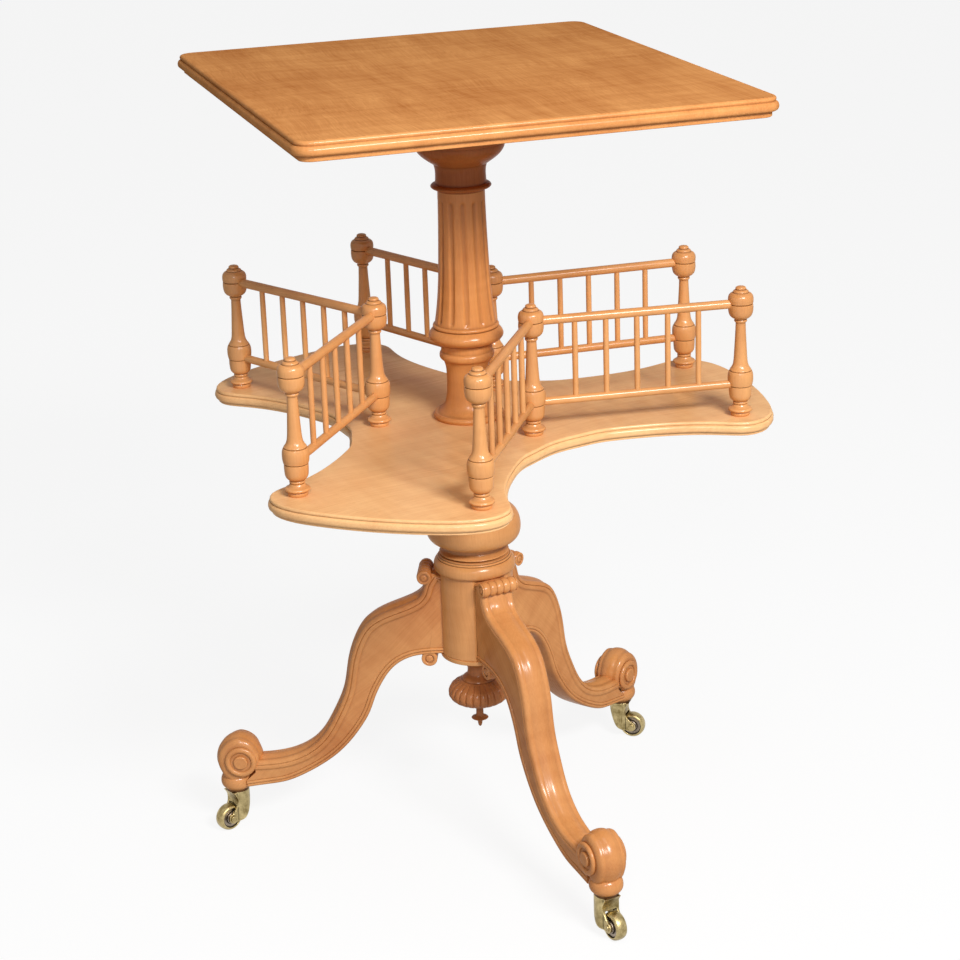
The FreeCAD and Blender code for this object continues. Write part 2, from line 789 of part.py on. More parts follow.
def leg_plan():
    """The leg's plan, which narrows from the seat to the ankle, as a tall block."""
    knee = leg_seat + leg_run * knee_share
    ankle = leg_seat + leg_run * ankle_share
    half = (
        (leg_seat, leg_seat_half_width), (knee, leg_knee_half_width),
        (ankle, leg_ankle_half_width), (foot_distance + pad_radius, leg_ankle_half_width),
    )
    level = foot_level - cut_overrun
    corners = [FreeCAD.Vector(x, y, level) for x, y in half]
    corners += [FreeCAD.Vector(x, -y, level) for x, y in reversed(half)]
    corners.append(corners[0])
    return Part.Face(Part.makePolygon(corners)).extrude(up * (leg_rise + 2 * cut_overrun))


def foot_scroll():
    """The hump of the toe, which rolls over outward and down."""
    curve = [leg_point(share, -leg_ankle_half_width) for share in foot_scroll_shares]
    heel = leg_point(foot_scroll_heel_share, -leg_ankle_half_width)
    edges = joined((curve, (curve[-1], heel), (heel, curve[0])))
    body = Part.Face(Part.Wire(edges)).extrude(sideways * (2 * leg_ankle_half_width))
    rims = [edge for edge in body.Edges if edge.Length > leg_run * scroll_rim_share]
    return body.makeFillet(leg_edge_radius, rims)


def leg():
    """A leg that stands along +X."""
    pad = turned(pad_shares, pad_radius, pad_height, foot_level)
    pad.translate(FreeCAD.Vector(foot_distance, 0, 0))
    roll_centre = FreeCAD.Vector(roll_distance, 0, collar_level - roll_drop)
    body = leg_side().common(leg_plan()).fuse([
        pad,
        foot_scroll(),
        cross_rod(roll_radius, roll_half_width, roll_centre),
        cross_rod(inner_scroll_radius, inner_scroll_half_width, leg_point(inner_scroll_share)),
        cross_rod(eye_ring_radius, eye_ring_half_width, leg_point(eye_share)),
        cross_rod(eye_radius, eye_half_width, leg_point(eye_share)),
    ])
    holes = plate_screw_ring(screw_hole)
    for hole in holes:
        hole.translate(FreeCAD.Vector(foot_distance, 0, 0))
    return cut_all(body, holes)


# Castors

def plate_screw_ring(make):
    """The screws of a castor plate that stands on the axis, or their holes."""
    one = make(plate_screw_radius, plate_screw_head_radius, plate_screw_head_height,
               plate_screw_length)
    return ring_of(one, plate_screw_count, plate_screw_distance, plate_level, plate_screw_turn)


def castor_plate():
    """The plate of a castor with its riveted stem, on the axis."""
    body = rod(plate_radius, plate_thickness, plate_level)
    stem = rod(stem_radius, plate_level - stem_head_level, stem_head_level)
    head = rod(stem_head_radius, stem_head_thickness, stem_head_level)
    return cut_all(body.fuse([stem, head]), plate_screw_ring(screw_hole))


def horn_plan(height):
    """The horn's plan: a round crown and two cheeks that trail along +X, as a tall block."""
    reach = castor_trail + cheek_end_radius
    cheeks = Part.makeBox(reach, 2 * fork_half_width, height)
    cheeks.translate(FreeCAD.Vector(0, -fork_half_width, 0))
    return rod(crown_radius, height, 0).fuse(cheeks)


def castor_fork():
    """The horn of a castor: a crown round the stem and two cheeks that trail along +X."""
    top = crown_level + crown_height
    wall = 2 * (crown_radius + cut_overrun)
    runs = []
    for shares in (horn_back_shares, horn_front_shares):
        runs.append([FreeCAD.Vector(x * castor_trail, -wall / 2,
                                    wheel_radius + z * (top - wheel_radius)) for x, z in shares])
    back, front = runs
    edges = joined((back, (back[-1], front[0]), front, (front[-1], back[0])))
    side = Part.Face(Part.Wire(edges)).extrude(sideways * wall)
    axle = FreeCAD.Vector(castor_trail, 0, wheel_radius)
    body = side.common(horn_plan(top)).fuse(cross_rod(cheek_end_radius, fork_half_width, axle))
    slot = cross_rod(wheel_radius + wheel_slot_room, slot_half_width, axle)
    pocket = rod(stem_head_radius + running_gap, crown_level, 0)
    bore = rod(stem_radius + turning_clearance, castor_height, 0)
    eye = cross_rod(axle_radius + joint_clearance, fork_half_width + cut_overrun, axle)
    return cut_all(body, [slot, pocket, bore, eye])


def castor_axle():
    """The riveted axle of a castor that trails along +X."""
    centre = FreeCAD.Vector(castor_trail, 0, wheel_radius)
    head_end = fork_half_width + axle_head_thickness
    heads = cross_rod(axle_head_radius, head_end, centre)
    heads = heads.cut(cross_rod(axle_head_radius, fork_half_width, centre))
    return heads.fuse(cross_rod(axle_radius, head_end, centre)).removeSplitter()


def castor_wheel():
    """The wheel of a castor that trails along +X."""
    body = turned(wheel_shares, wheel_radius, wheel_width, -wheel_width / 2)
    recess = wheel_recess_depth + cut_overrun
    for level in (-wheel_width / 2 - cut_overrun, wheel_width / 2 - wheel_recess_depth):
        body = body.cut(rod(wheel_recess_radius, recess, level))
    body = body.fuse(rod(hub_radius, hub_width, -hub_width / 2))
    bore_foot = -hub_width / 2 - cut_overrun
    body = body.cut(rod(axle_radius + turning_clearance, hub_width + 2 * cut_overrun, bore_foot))
    body.rotate(origin, FreeCAD.Vector(1, 0, 0), 90)
    body.translate(FreeCAD.Vector(castor_trail, 0, wheel_radius))
    return body


def at_foot(shape, number, swivels):
    """A castor piece moved from the axis to its foot, at its own angle if it swivels."""
    body = turn(shape, castor_turns[number] if swivels else leg_angles[number])
    body.translate(place(foot_distance, leg_angles[number], 0))
    return body


def castor_screws():
    """The screws of all three castor plates."""
    copies = []
    for number in range(3):
        copies += [at_foot(one, number, False) for one in plate_screw_ring(screw)]
    return Part.makeCompound(copies)


def all_pieces():
    """Every piece of the table under its own name."""
    pieces = {
        "tabletop": tabletop(),
        "top_screws": top_screws(),
        "capital": capital(),
        "column_shaft": column_shaft(),
        "shelf": shelf(),
        "turntable_bowl": turntable_bowl(),
        "bowl_screws": bowl_screws(),
        "pivot_bushes": pivot_bushes(),
        "pivot_spindle": pivot_spindle(),
        "retaining_nut": retaining_nut(),
        "thrust_washer": thrust_washer(),
        "pedestal_collar": pedestal_collar(),
        "pedestal_block": pedestal_block(),
        "pedestal_cap": pedestal_cap(),
        "drop_finial": drop_finial(),
        "finial_tip": finial_tip(),
        "leg_dowels": leg_dowels(),
        "castor_screws": castor_screws(),
    }
    for number in range(3):
        pieces["inner_post_%d" % (number + 1)] = post(number, True)
    for number in range(6):
        pieces["outer_post_%d" % (number + 1)] = post(number, False)
    for number, pair in enumerate(panels()):
        top_rail = bored_rail(pair, top_rail_height, top_rail_radius)
        bottom_rail = bored_rail(pair, bottom_rail_height, bottom_rail_radius)
        pieces["top_rail_%d" % (number + 1)] = top_rail
        pieces["bottom_rail_%d" % (number + 1)] = bottom_rail
        pieces["spindles_%d" % (number + 1)] = spindles(pair)
    plain_leg = leg()
    for number in range(3):
        bored_leg = cut_all(turn(plain_leg, leg_angles[number]), dowel_holes())
        pieces["leg_%d" % (number + 1)] = bored_leg
        pieces["castor_plate_%d" % (number + 1)] = at_foot(castor_plate(), number, False)
        pieces["castor_fork_%d" % (number + 1)] = at_foot(castor_fork(), number, True)
        pieces["castor_axle_%d" % (number + 1)] = at_foot(castor_axle(), number, True)
        pieces["castor_wheel_%d" % (number + 1)] = at_foot(castor_wheel(), number, True)
    return pieces


os.makedirs("parts", exist_ok=True)
for name, shape in all_pieces().items():
    shape.exportStep("parts/%s.step" % name)
    print(name, len(shape.Solids), round(shape.Volume), shape.isValid())
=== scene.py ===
import json
import math
import bmesh
import bpy
import numpy
from mathutils import Matrix, Vector

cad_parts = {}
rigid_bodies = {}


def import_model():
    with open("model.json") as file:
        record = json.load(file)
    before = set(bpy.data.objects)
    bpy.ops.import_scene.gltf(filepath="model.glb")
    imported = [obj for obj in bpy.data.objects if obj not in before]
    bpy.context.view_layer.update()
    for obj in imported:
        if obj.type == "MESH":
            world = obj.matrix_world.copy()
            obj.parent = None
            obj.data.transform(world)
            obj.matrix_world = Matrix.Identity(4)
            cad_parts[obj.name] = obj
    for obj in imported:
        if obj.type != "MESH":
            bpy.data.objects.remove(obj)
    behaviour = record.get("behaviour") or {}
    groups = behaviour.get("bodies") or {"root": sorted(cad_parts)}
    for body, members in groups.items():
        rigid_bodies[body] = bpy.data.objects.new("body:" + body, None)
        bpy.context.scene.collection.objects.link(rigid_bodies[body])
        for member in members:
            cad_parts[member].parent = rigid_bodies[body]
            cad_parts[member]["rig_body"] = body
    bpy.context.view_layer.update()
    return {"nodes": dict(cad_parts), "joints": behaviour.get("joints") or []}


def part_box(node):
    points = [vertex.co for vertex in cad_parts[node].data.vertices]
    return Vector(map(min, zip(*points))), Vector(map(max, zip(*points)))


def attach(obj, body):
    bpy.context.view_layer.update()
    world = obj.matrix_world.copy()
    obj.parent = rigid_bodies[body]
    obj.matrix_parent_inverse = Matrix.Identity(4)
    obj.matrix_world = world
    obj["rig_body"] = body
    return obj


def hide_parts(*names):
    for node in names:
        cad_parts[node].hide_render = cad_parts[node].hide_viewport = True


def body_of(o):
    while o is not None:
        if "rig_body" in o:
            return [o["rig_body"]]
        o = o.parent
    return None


bl_info = {
    "name": "Revolving Gallery Table",
    "version": (1, 0, 0),
    "blender": (4, 5, 0),
    "location": "3D View > Sidebar > Table",
    "description": "Builds the turned and carved pieces of a revolving table around its frame",
    "category": "Object",
}

# Pieces are worked out in millimetres, and add_piece turns them into metres.

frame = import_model()
millimetre = 0.001


def linked(first, *others):
    """Runs of points, each of which starts where the one before it ends."""
    runs = [first]
    for run in others:
        runs.append(runs[-1][-1:] + run)
    return runs


# Outlines of turned pieces, as shares of the radius and height of each. A run of two points is
# a straight line and a longer run is a smooth curve.
post_shares = linked(
    ((0.68, 0.0), (0.74, 0.008), (0.75, 0.02), (0.7, 0.034)),
    ((0.87, 0.0365),),
    ((0.93, 0.042), (0.94, 0.05), (0.88, 0.0585)),
    ((0.83, 0.0605),),
    ((0.72, 0.0665), (0.62, 0.076), (0.56, 0.087)),
    ((0.52, 0.089),),
    ((0.575, 0.096), (0.575, 0.106), (0.53, 0.112)),
    ((0.7, 0.124), (0.82, 0.14), (0.88, 0.17), (0.9, 0.2), (0.9, 0.228)),
    ((0.84, 0.2335),),
    ((0.93, 0.239),),
    ((0.985, 0.265), (1.0, 0.295), (0.98, 0.325), (0.91, 0.346)),
    ((0.82, 0.35),),
    ((0.85, 0.355), (0.82, 0.362)),
    ((0.72, 0.375), (0.62, 0.395), (0.55, 0.43), (0.505, 0.49), (0.465, 0.56), (0.42, 0.64),
     (0.39, 0.72)),
    ((0.46, 0.7265),),
    ((0.51, 0.7365), (0.46, 0.747)),
    ((0.5, 0.751),),
    ((0.7, 0.762), (0.87, 0.78), (0.96, 0.808), (0.985, 0.84), (0.97, 0.862)),
    ((0.88, 0.8675),),
    ((0.97, 0.873),),
    ((0.995, 0.895), (0.97, 0.92), (0.86, 0.94), (0.69, 0.9505)),
    ((0.62, 0.9525),),
    ((0.6, 0.9625), (0.51, 0.97), (0.43, 0.974)),
    ((0.405, 0.977),),
    ((0.42, 0.984), (0.35, 0.994), (0.18, 0.999), (0.01, 1.0)),
)
column_shares = linked(
    ((0.91, 0.0), (0.955, 0.013), (0.91, 0.027)),
    ((0.83, 0.027),),
    ((0.69, 0.05), (0.595, 0.09), (0.565, 0.145), (0.565, 0.2), (0.595, 0.24), (0.64, 0.26)),
    ((0.72, 0.27), (0.735, 0.282), (0.72, 0.293), (0.685, 0.3)),
    ((0.695, 0.338),),
    ((0.86, 0.344), (0.965, 0.357), (1.0, 0.37), (0.972, 0.385), (0.89, 0.402)),
    ((0.85, 0.405),),
    ((0.885, 0.411), (0.87, 0.419), (0.83, 0.423)),
    ((0.785, 0.47), (0.73, 0.545), (0.683, 0.67), (0.645, 0.845), (0.625, 1.0)),
)
capital_shares = linked(
    ((0.268, 0.0), (0.272, 0.02)),
    ((0.325, 0.029), (0.342, 0.048), (0.325, 0.068), (0.288, 0.078)),
    ((0.284, 0.15), (0.286, 0.22), (0.3, 0.277)),
    ((0.368, 0.32), (0.44, 0.372), (0.482, 0.418), (0.502, 0.46), (0.508, 0.5)),
    ((0.53, 0.51),),
    ((0.53, 0.56),),
    ((0.6, 0.7), (0.75, 0.82), (0.95, 0.89)),
    ((0.99, 0.915), (1.0, 0.945), (0.99, 1.0)),
)
bowl_shares = linked(
    ((0.55, 0.0), (0.56, 0.007), (0.545, 0.013)),
    ((0.505, 0.021), (0.478, 0.031), (0.467, 0.046), (0.471, 0.066)),
    ((0.484, 0.072),),
    ((0.532, 0.079), (0.621, 0.092), (0.71, 0.123), (0.753, 0.167), (0.763, 0.214), (0.742, 0.277),
     (0.7, 0.32), (0.6, 0.365)),
    ((0.56, 0.37),),
    ((0.56, 0.4),),
    ((0.49, 0.47), (0.47, 0.56), (0.5, 0.68), (0.62, 0.8), (0.86, 0.89)),
    ((0.97, 0.905), (1.0, 0.94), (0.98, 1.0)),
)
collar_shares = linked(
    ((0.95, 0.0), (0.985, 0.08), (1.0, 0.3), (0.985, 0.52), (0.945, 0.7), (0.915, 0.775)),
    ((0.893, 0.785),),
    ((0.903, 0.845), (0.885, 0.905)),
    ((0.865, 0.915),),
    ((0.86, 1.0),),
)
cap_shares = linked(
    ((0.945, 0.0), (0.98, 0.15), (0.99, 0.4)),
    ((1.0, 0.97),),
    ((0.99, 1.0),),
)
drop_shares = linked(
    ((0.2, 0.0), (0.55, 0.012), (0.82, 0.06), (0.95, 0.125), (1.0, 0.19), (0.985, 0.27),
     (0.89, 0.36), (0.74, 0.415), (0.575, 0.473)),
    ((0.55, 0.48),),
    ((0.51, 0.52), (0.42, 0.56), (0.37, 0.59)),
    ((0.35, 0.65), (0.37, 0.76), (0.46, 0.88), (0.62, 1.0)),
)
tip_shares = linked(
    ((0.02, 0.0), (0.1, 0.01), (0.2, 0.06), (0.28, 0.2)),
    ((0.6, 0.29), (1.0, 0.357), (0.6, 0.43), (0.43, 0.5)),
    ((0.42, 1.0),),
)
block_shares = linked(
    ((0.985, 0.0), (1.0, 0.008)),
    ((1.0, 0.992),),
    ((0.985, 1.0),),
)

# Moulded edges of top and shelf, as runs of inset and height in millimetres
top_edge_runs = linked(
    ((6.6, 0.0), (6.0, 0.5)),
    ((6.0, 4.2),),
    ((5.2, 4.9), (3.0, 5.1)),
    ((0.9, 6.3), (0.0, 9.0), (0.7, 11.8), (2.5, 13.4)),
    ((3.1, 13.5),),
    ((3.1, 14.1),),
    ((2.5, 15.0), (2.7, 16.6), (3.9, 17.7), (5.4, 18.0)),
    ((9.0, 17.95),),
    ((14.0, 17.95),),
)
shelf_edge_runs = linked(
    ((3.9, 0.0), (3.4, 0.4)),
    ((3.4, 2.9),),
    ((1.4, 3.3),),
    ((0.35, 4.6), (0.04, 6.6), (0.35, 8.8), (1.6, 10.3)),
    ((2.2, 10.4),),
    ((2.2, 10.9),),
    ((1.7, 11.6), (1.8, 12.8), (2.6, 13.8), (3.8, 14.0)),
    ((8.0, 13.95),),
    ((12.0, 13.95),),
)

# Half a shelf lobe, from its tip round to its side, as shares of the reach and half width
lobe_shares = (
    (0.986, 0.487), (0.956, 0.779), (0.905, 0.947), (0.841, 1.0), (0.764, 0.93), (0.676, 0.84),
    (0.557, 0.78), (0.439, 0.762), (0.361, 0.776), (0.311, 0.818), (0.27, 0.854),
)

# Side of a leg, as shares of the way out from seat to foot and up from foot to collar
leg_upper_shares = (
    (0.054, 1.0), (0.085, 0.953), (0.103, 0.907), (0.17, 0.864), (0.269, 0.827), (0.354, 0.777),
    (0.41, 0.695), (0.444, 0.6), (0.471, 0.472), (0.522, 0.361), (0.59, 0.258), (0.697, 0.1835),
    (0.809, 0.155), (0.906, 0.148),
)
leg_lower_shares = (
    (0.058, 0.635), (0.139, 0.623), (0.224, 0.581), (0.291, 0.499), (0.323, 0.437), (0.35, 0.371),
    (0.39, 0.305), (0.439, 0.243), (0.502, 0.181), (0.57, 0.132), (0.664, 0.08), (0.758, 0.043),
    (0.852, 0.027), (0.942, 0.014),
)
foot_scroll_shares = (
    (0.87, 0.161), (0.879, 0.1835), (0.901, 0.221), (0.937, 0.245), (0.975, 0.254), (1.018, 0.241),
    (1.058, 0.208), (1.081, 0.167), (1.085, 0.126), (1.072, 0.087), (1.054, 0.056), (1.027, 0.033),
)
eye_share = (0.964, 0.142)
inner_scroll_share = (0.067, 0.614)
pad_shares = (
    ((0.75, 0.0), (0.93, 0.16), (1.0, 0.4), (0.9, 0.75), (0.6, 1.0)),
)

# Half a section of a leg that is 32 mm wide, from the middle of its edge round to its side, as
# runs of depth from the edge and distance from the middle in millimetres
leg_upper_runs = linked(
    ((0.0, 0.0), (0.2, 3.0), (1.0, 5.5), (2.0, 7.5), (2.6, 9.3), (2.5, 11.0), (2.7, 12.8),
     (3.6, 14.4), (5.2, 15.4), (6.4, 15.7)),
    ((7.1, 15.0),),
    ((8.0, 15.8), (9.6, 16.0), (11.2, 15.8), (12.1, 15.0)),
    ((12.9, 14.7),),
    ((15.0, 14.8),),
)
leg_lower_runs = linked(
    ((8.0, 14.8), (7.2, 14.6)),
    ((6.6, 15.5), (5.6, 15.8), (4.6, 15.5), (4.1, 14.8)),
    ((3.7, 14.8),),
    ((3.0, 15.5), (2.0, 15.4), (0.9, 14.4), (0.2, 12.8)),
    ((0.0, 8.0), (0.0, 0.0)),
)

# Half a scroll from its middle to its end, as runs of radius and distance from the middle. On
# the foot a radius below zero is measured in from the scroll's own outline.
foot_runs = (
    ((-0.01, 0.0), (-0.4, 3.5), (-1.6, 6.5), (-2.6, 8.8), (-2.7, 10.5), (-3.3, 12.3), (-5.5, 14.2),
     (-8.5, 15.4)),
    ((15.6, 15.2), (16.3, 16.4), (15.9, 17.8), (14.6, 18.8), (12.8, 19.0), (11.2, 18.2),
     (10.6, 16.9)),
    ((10.6, 16.9), (7.6, 16.7)),
    ((7.3, 16.8), (7.3, 18.6)),
    ((7.3, 18.6), (6.9, 19.4), (5.0, 19.8), (0.05, 20.0)),
)
inner_scroll_runs = (
    ((8.0, 0.0), (8.0, 15.0)),
    ((8.0, 15.0), (7.5, 15.8), (6.5, 16.0)),
    ((6.5, 16.0), (5.4, 16.0)),
    ((5.4, 16.0), (4.8, 15.6), (4.7, 14.6)),
    ((4.7, 14.6), (3.5, 14.5)),
    ((3.4, 14.6), (3.3, 15.4), (2.2, 15.9), (0.05, 16.0)),
)
roll_end_runs = (
    ((6.5, 18.2), (6.9, 18.5), (6.9, 18.9), (6.3, 19.4), (5.4, 19.5)),
    ((5.4, 19.5), (4.7, 19.3), (4.4, 18.7)),
    ((4.4, 18.7), (3.2, 18.7)),
    ((3.1, 18.8), (2.6, 19.3), (0.05, 19.5)),
)


# Lines and shells

def smooth_line(points, step):
    """A smooth line through points, with three or more short steps between each two."""
    points = numpy.array(points, float)
    gaps = numpy.linalg.norm(numpy.diff(points, axis=0), axis=1)
    count = len(points)
    matrix = numpy.eye(count)
    pull = numpy.zeros_like(points)
    for number in range(1, count - 1):
        before, after = gaps[number - 1], gaps[number]
        matrix[number, number - 1:number + 2] = before, 2 * (before + after), after
        rise = (points[number + 1] - points[number]) / after
        pull[number] = 6 * (rise - (points[number] - points[number - 1]) / before)
    bend = numpy.linalg.solve(matrix, pull)
    line = []
    for number, gap in enumerate(gaps):
        steps = max(3, math.ceil(gap / step))
        share = numpy.linspace(0, 1, steps, endpoint=False)[:, None]
        rest = 1 - share
        curve = (rest ** 3 - rest) * bend[number] + (share ** 3 - share) * bend[number + 1]
        line.append(rest * points[number] + share * points[number + 1] + gap ** 2 / 6 * curve)
    line.append(points[-1:])
    return numpy.concatenate(line)


def joined_runs(runs, step):
    """One line through runs that follow each other."""
    pieces = [smooth_line(run, step)[:-1] for run in runs]
    return numpy.concatenate(pieces + [numpy.array([runs[-1][-1]], float)])


def outline(shares, radius, height, level, step=1.3):
    """Radius and height along a turned piece."""
    line = joined_runs([[(r * radius, z * height) for r, z in run] for run in shares], step)
    return line + (0, level)


def shell(rows):
    """Points and faces of a closed skin through rings of points, with flat ends."""
    rows = numpy.asarray(rows, float)
    count, width = rows.shape[:2]
    ring, spot = numpy.meshgrid(numpy.arange(count - 1), numpy.arange(width), indexing="ij")
    following = (spot + 1) % width
    quads = (ring * width + spot, ring * width + following,
             (ring + 1) * width + following, (ring + 1) * width + spot)
    faces = numpy.stack(quads, axis=-1).reshape(-1, 4).tolist()
    faces.append(list(range(width)))
    faces.append(list(range((count - 1) * width, count * width)))
    return rows.reshape(-1, 3), faces


def lathe(line, segments, warp=None):
    """A skin turned about Z from radii and heights. The warp changes the radii by angle."""
    turns = numpy.arange(segments) * (2 * math.pi / segments)
    reach = numpy.repeat(line[:, :1], segments, axis=1)
    level = numpy.repeat(line[:, 1:], segments, axis=1)
    if warp is not None:
        reach = warp(reach, level, turns)
    return shell(numpy.stack((reach * numpy.cos(turns), reach * numpy.sin(turns), level), -1))


def moved(skin, matrix):
    """A skin put in its place by a matrix."""
    points, faces = skin
    matrix = numpy.array(matrix)
    return points @ matrix[:3, :3].T + matrix[:3, 3], faces


def between(start, end):
    """The matrix that lays +Z along the way from one point to another."""
    way = Vector(end) - Vector(start)
    return Matrix.Translation(start) @ way.to_track_quat("Z", "Y").to_matrix().to_4x4()


# Pieces

def numbers_of(items, field, width=1, kind=float):
    """The values of one field of all vertices, edges or faces."""
    values = numpy.zeros(len(items) * width, kind)
    items.foreach_get(field, values)
    return values.reshape(-1, width) if width > 1 else values


def sum_around(values, start, end):
    """The sum of the values at the other ends of the edges that meet at each point."""
    count = len(values)
    return numpy.bincount(start, values[end], count) + numpy.bincount(end, values[start], count)


def mark_hollows_and_edges(mesh, passes=2):
    """Stores how hollow and how sharp the surface is at each point, from 0 to 1."""
    count = len(mesh.vertices)
    places = numbers_of(mesh.vertices, "co", 3)
    normals = numbers_of(mesh.vertices, "normal", 3)
    start, end = numbers_of(mesh.edges, "vertices", 2, numpy.int32).T
    way = places[end] - places[start]
    length = numpy.maximum((way ** 2).sum(axis=1), 1e-12)
    bend = ((normals[end] - normals[start]) * way).sum(axis=1) / length * millimetre
    bend = numpy.clip(bend, -2, 2)
    share = numpy.maximum(sum_around(numpy.ones(count), start, end), 1)
    curve = (numpy.bincount(start, bend, count) + numpy.bincount(end, bend, count)) / share
    for _ in range(passes):
        curve = (curve + sum_around(curve, start, end) / share) / 2
    # On wood the groove mask darkens hollows with painted shade, and the edge mask pales edges,
    # partly as a painted highlight.
    for name, values in (("groove", -curve * 2.4), ("edge", (curve - 0.12) * 2.0)):
        field = mesh.attributes.new(name, "FLOAT", "POINT")
        field.data.foreach_set("value", numpy.clip(values, 0, 1).astype(numpy.float32))


def mark_grain(mesh, along, number):
    """Stores each point's place in its own piece of wood, along the grain and across it."""
    turn = Vector(along).to_track_quat("X", "Z").to_matrix()
    places = numbers_of(mesh.vertices, "co", 3) @ numpy.array(turn)
    places = places + numpy.array((0.37, 0.71, 0.53)) * number
    field = mesh.attributes.new("grain_place", "FLOAT_VECTOR", "POINT")
    field.data.foreach_set("vector", places.astype(numpy.float32).ravel())


def add_piece(node, skins, slot, along=(0, 0, 1), look=None):
    """Makes a piece from skins in millimetres. It stands for a node and rides on its body."""
    points, faces, count = [], [], 0
    for skin_points, skin_faces in skins:
        points.append(skin_points)
        faces.extend([[corner + count for corner in face] for face in skin_faces])
        count += len(skin_points)
    mesh = bpy.data.meshes.new(node + "_detail")
    mesh.from_pydata((numpy.concatenate(points) * millimetre).tolist(), [], faces)
    work = bmesh.new()
    work.from_mesh(mesh)
    bmesh.ops.recalc_face_normals(work, faces=work.faces)
    work.to_mesh(mesh)
    work.free()
    add_mesh(node, mesh, slot, along, look)


def add_mesh(node, mesh, slot, along=(0, 0, 1), look=None):
    """Finishes a mesh as the piece that stands for a node."""
    mesh.shade_smooth()
    mesh.set_sharp_from_angle(angle=math.radians(42))
    mark_hollows_and_edges(mesh)
    mark_grain(mesh, along, len(bpy.data.meshes) % 97)
    mesh.materials.append(finish(look or slot))
    piece = bpy.data.objects.new(node + "_detail", mesh)
    bpy.context.scene.collection.objects.link(piece)
    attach(piece, body_of(frame["nodes"][node])[0])
    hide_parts(node)


def leg_angle(number):
    """How far round from +X a leg points, in radians."""
    x, y = axis_of("castor_plate_%d" % number)
    return math.atan2(y, x)


def box_of(node):
    """The lowest and the highest corner of a node in millimetres."""
    low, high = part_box(node)
    return low / millimetre, high / millimetre


def axis_of(node):
    """Where a node's upright axis stands, in millimetres."""
    low, high = box_of(node)
    return (low.x + high.x) / 2, (low.y + high.y) / 2


# Legs, which are worked out as if they stood along +X

leg_seat = 33.0
leg_run = 223.0
leg_foot = 45.0
leg_rise = 242.5
leg_step = 0.8
block_foot = 199.5


def leg_side(shares):
    """Finely spaced points on the side of a leg."""
    points = [(leg_seat + out * leg_run, leg_foot + rise * leg_rise) for out, rise in shares]
    line = smooth_line(points, 0.5)
    length = numpy.concatenate(([0], numpy.cumsum(numpy.linalg.norm(numpy.diff(line, axis=0),
                                                                    axis=1))))
    even = numpy.arange(0, length[-1], leg_step)
    return numpy.column_stack([numpy.interp(even, length, line[:, axis]) for axis in (0, 1)])


def inward_of(line, side):
    """The directions square to a line, towards its left (1) or right (-1)."""
    way = numpy.gradient(line, axis=0)
    way /= numpy.linalg.norm(way, axis=1)[:, None]
    return numpy.column_stack((-way[:, 1], way[:, 0])) * side


def leg_body():
    """The S-shaped leg: a ridge on its outer edge and mouldings along its sides."""
    upper, lower = leg_side(leg_upper_shares), leg_side(leg_lower_shares)
    into_upper, into_lower = inward_of(upper, -1), inward_of(lower, 1)
    apart = numpy.linalg.norm(upper[:, None] - lower[None], axis=2)
    match = numpy.maximum.accumulate(apart.argmin(axis=1)).astype(float)
    blur = 12
    window = 2 * blur + 1
    match = numpy.convolve(numpy.pad(match, blur, mode="edge"), numpy.full(window, 1 / window),
                           "valid")
    match[-blur:] = numpy.linspace(match[-blur], len(lower) - 1, blur)
    match[:blur] = numpy.linspace(0, match[blur], blur)
    spots = numpy.arange(len(lower))

    def follow(values):
        return numpy.column_stack([numpy.interp(match, spots, values[:, axis]) for axis in (0, 1)])

    lower, into_lower = follow(lower), follow(into_lower)
    top = joined_runs(leg_upper_runs, 0.9)
    bottom = joined_runs(leg_lower_runs, 0.9)
    plain_rows = 6
    drawn_half, knee, toe = 16, 126.7, 233.7
    half = numpy.interp(upper[:, 0], (leg_seat, knee, toe), (18.0, 16.0, 14.0)) / drawn_half
    hollow_depth, hollow_length = 2.6, 34
    rows = []
    travelled = leg_step * numpy.arange(len(upper))
    for spot in range(-1, len(upper)):
        if spot < 0:
            high = numpy.array((leg_seat, leg_foot + leg_rise))
            low = numpy.array((leg_seat, block_foot))
            into_high, into_low = numpy.array((0, -1)), numpy.array((0, 1))
            wide, hollow = half[0], 0
        else:
            high, low = upper[spot], lower[spot]
            into_high, into_low = into_upper[spot], into_lower[spot]
            wide = half[spot]
            hollow = hollow_depth * max(0, 1 - travelled[spot] / hollow_length) ** 0.5
        depth = top[:, 0] + hollow * numpy.clip((13 - top[:, 1]) / 4, 0, 1)
        outer = high + depth[:, None] * into_high
        inner = low + bottom[:, :1] * into_low
        share = numpy.linspace(0, 1, plain_rows + 2)[1:-1, None]
        middle = outer[-1] * (1 - share) + inner[0] * share
        side = numpy.concatenate((outer, middle, inner))
        plain = numpy.full(plain_rows, top[-1, 1])
        across = numpy.concatenate((top[:, 1], plain, bottom[:, 1])) * wide
        near = numpy.column_stack((side[:, 0], across, side[:, 1]))
        far = near[-2:0:-1] * (1, -1, 1)
        rows.append(numpy.concatenate((near, far)))
    return shell(rows)


def scroll(centre, half_line, segments, warp=None):
    """A skin turned about a cross axis through a point, alike on both sides."""
    other = half_line[:0:-1] * (1, -1)
    line = numpy.concatenate((other, half_line))
    place = Matrix(((1, 0, 0, centre[0]), (0, 0, -1, 0), (0, 1, 0, centre[1]), (0, 0, 0, 1)))
    return moved(lathe(line, segments, warp), place)


def leg_place(share):
    """A point on the side of a leg from its shares."""
    return leg_seat + share[0] * leg_run, leg_foot + share[1] * leg_rise


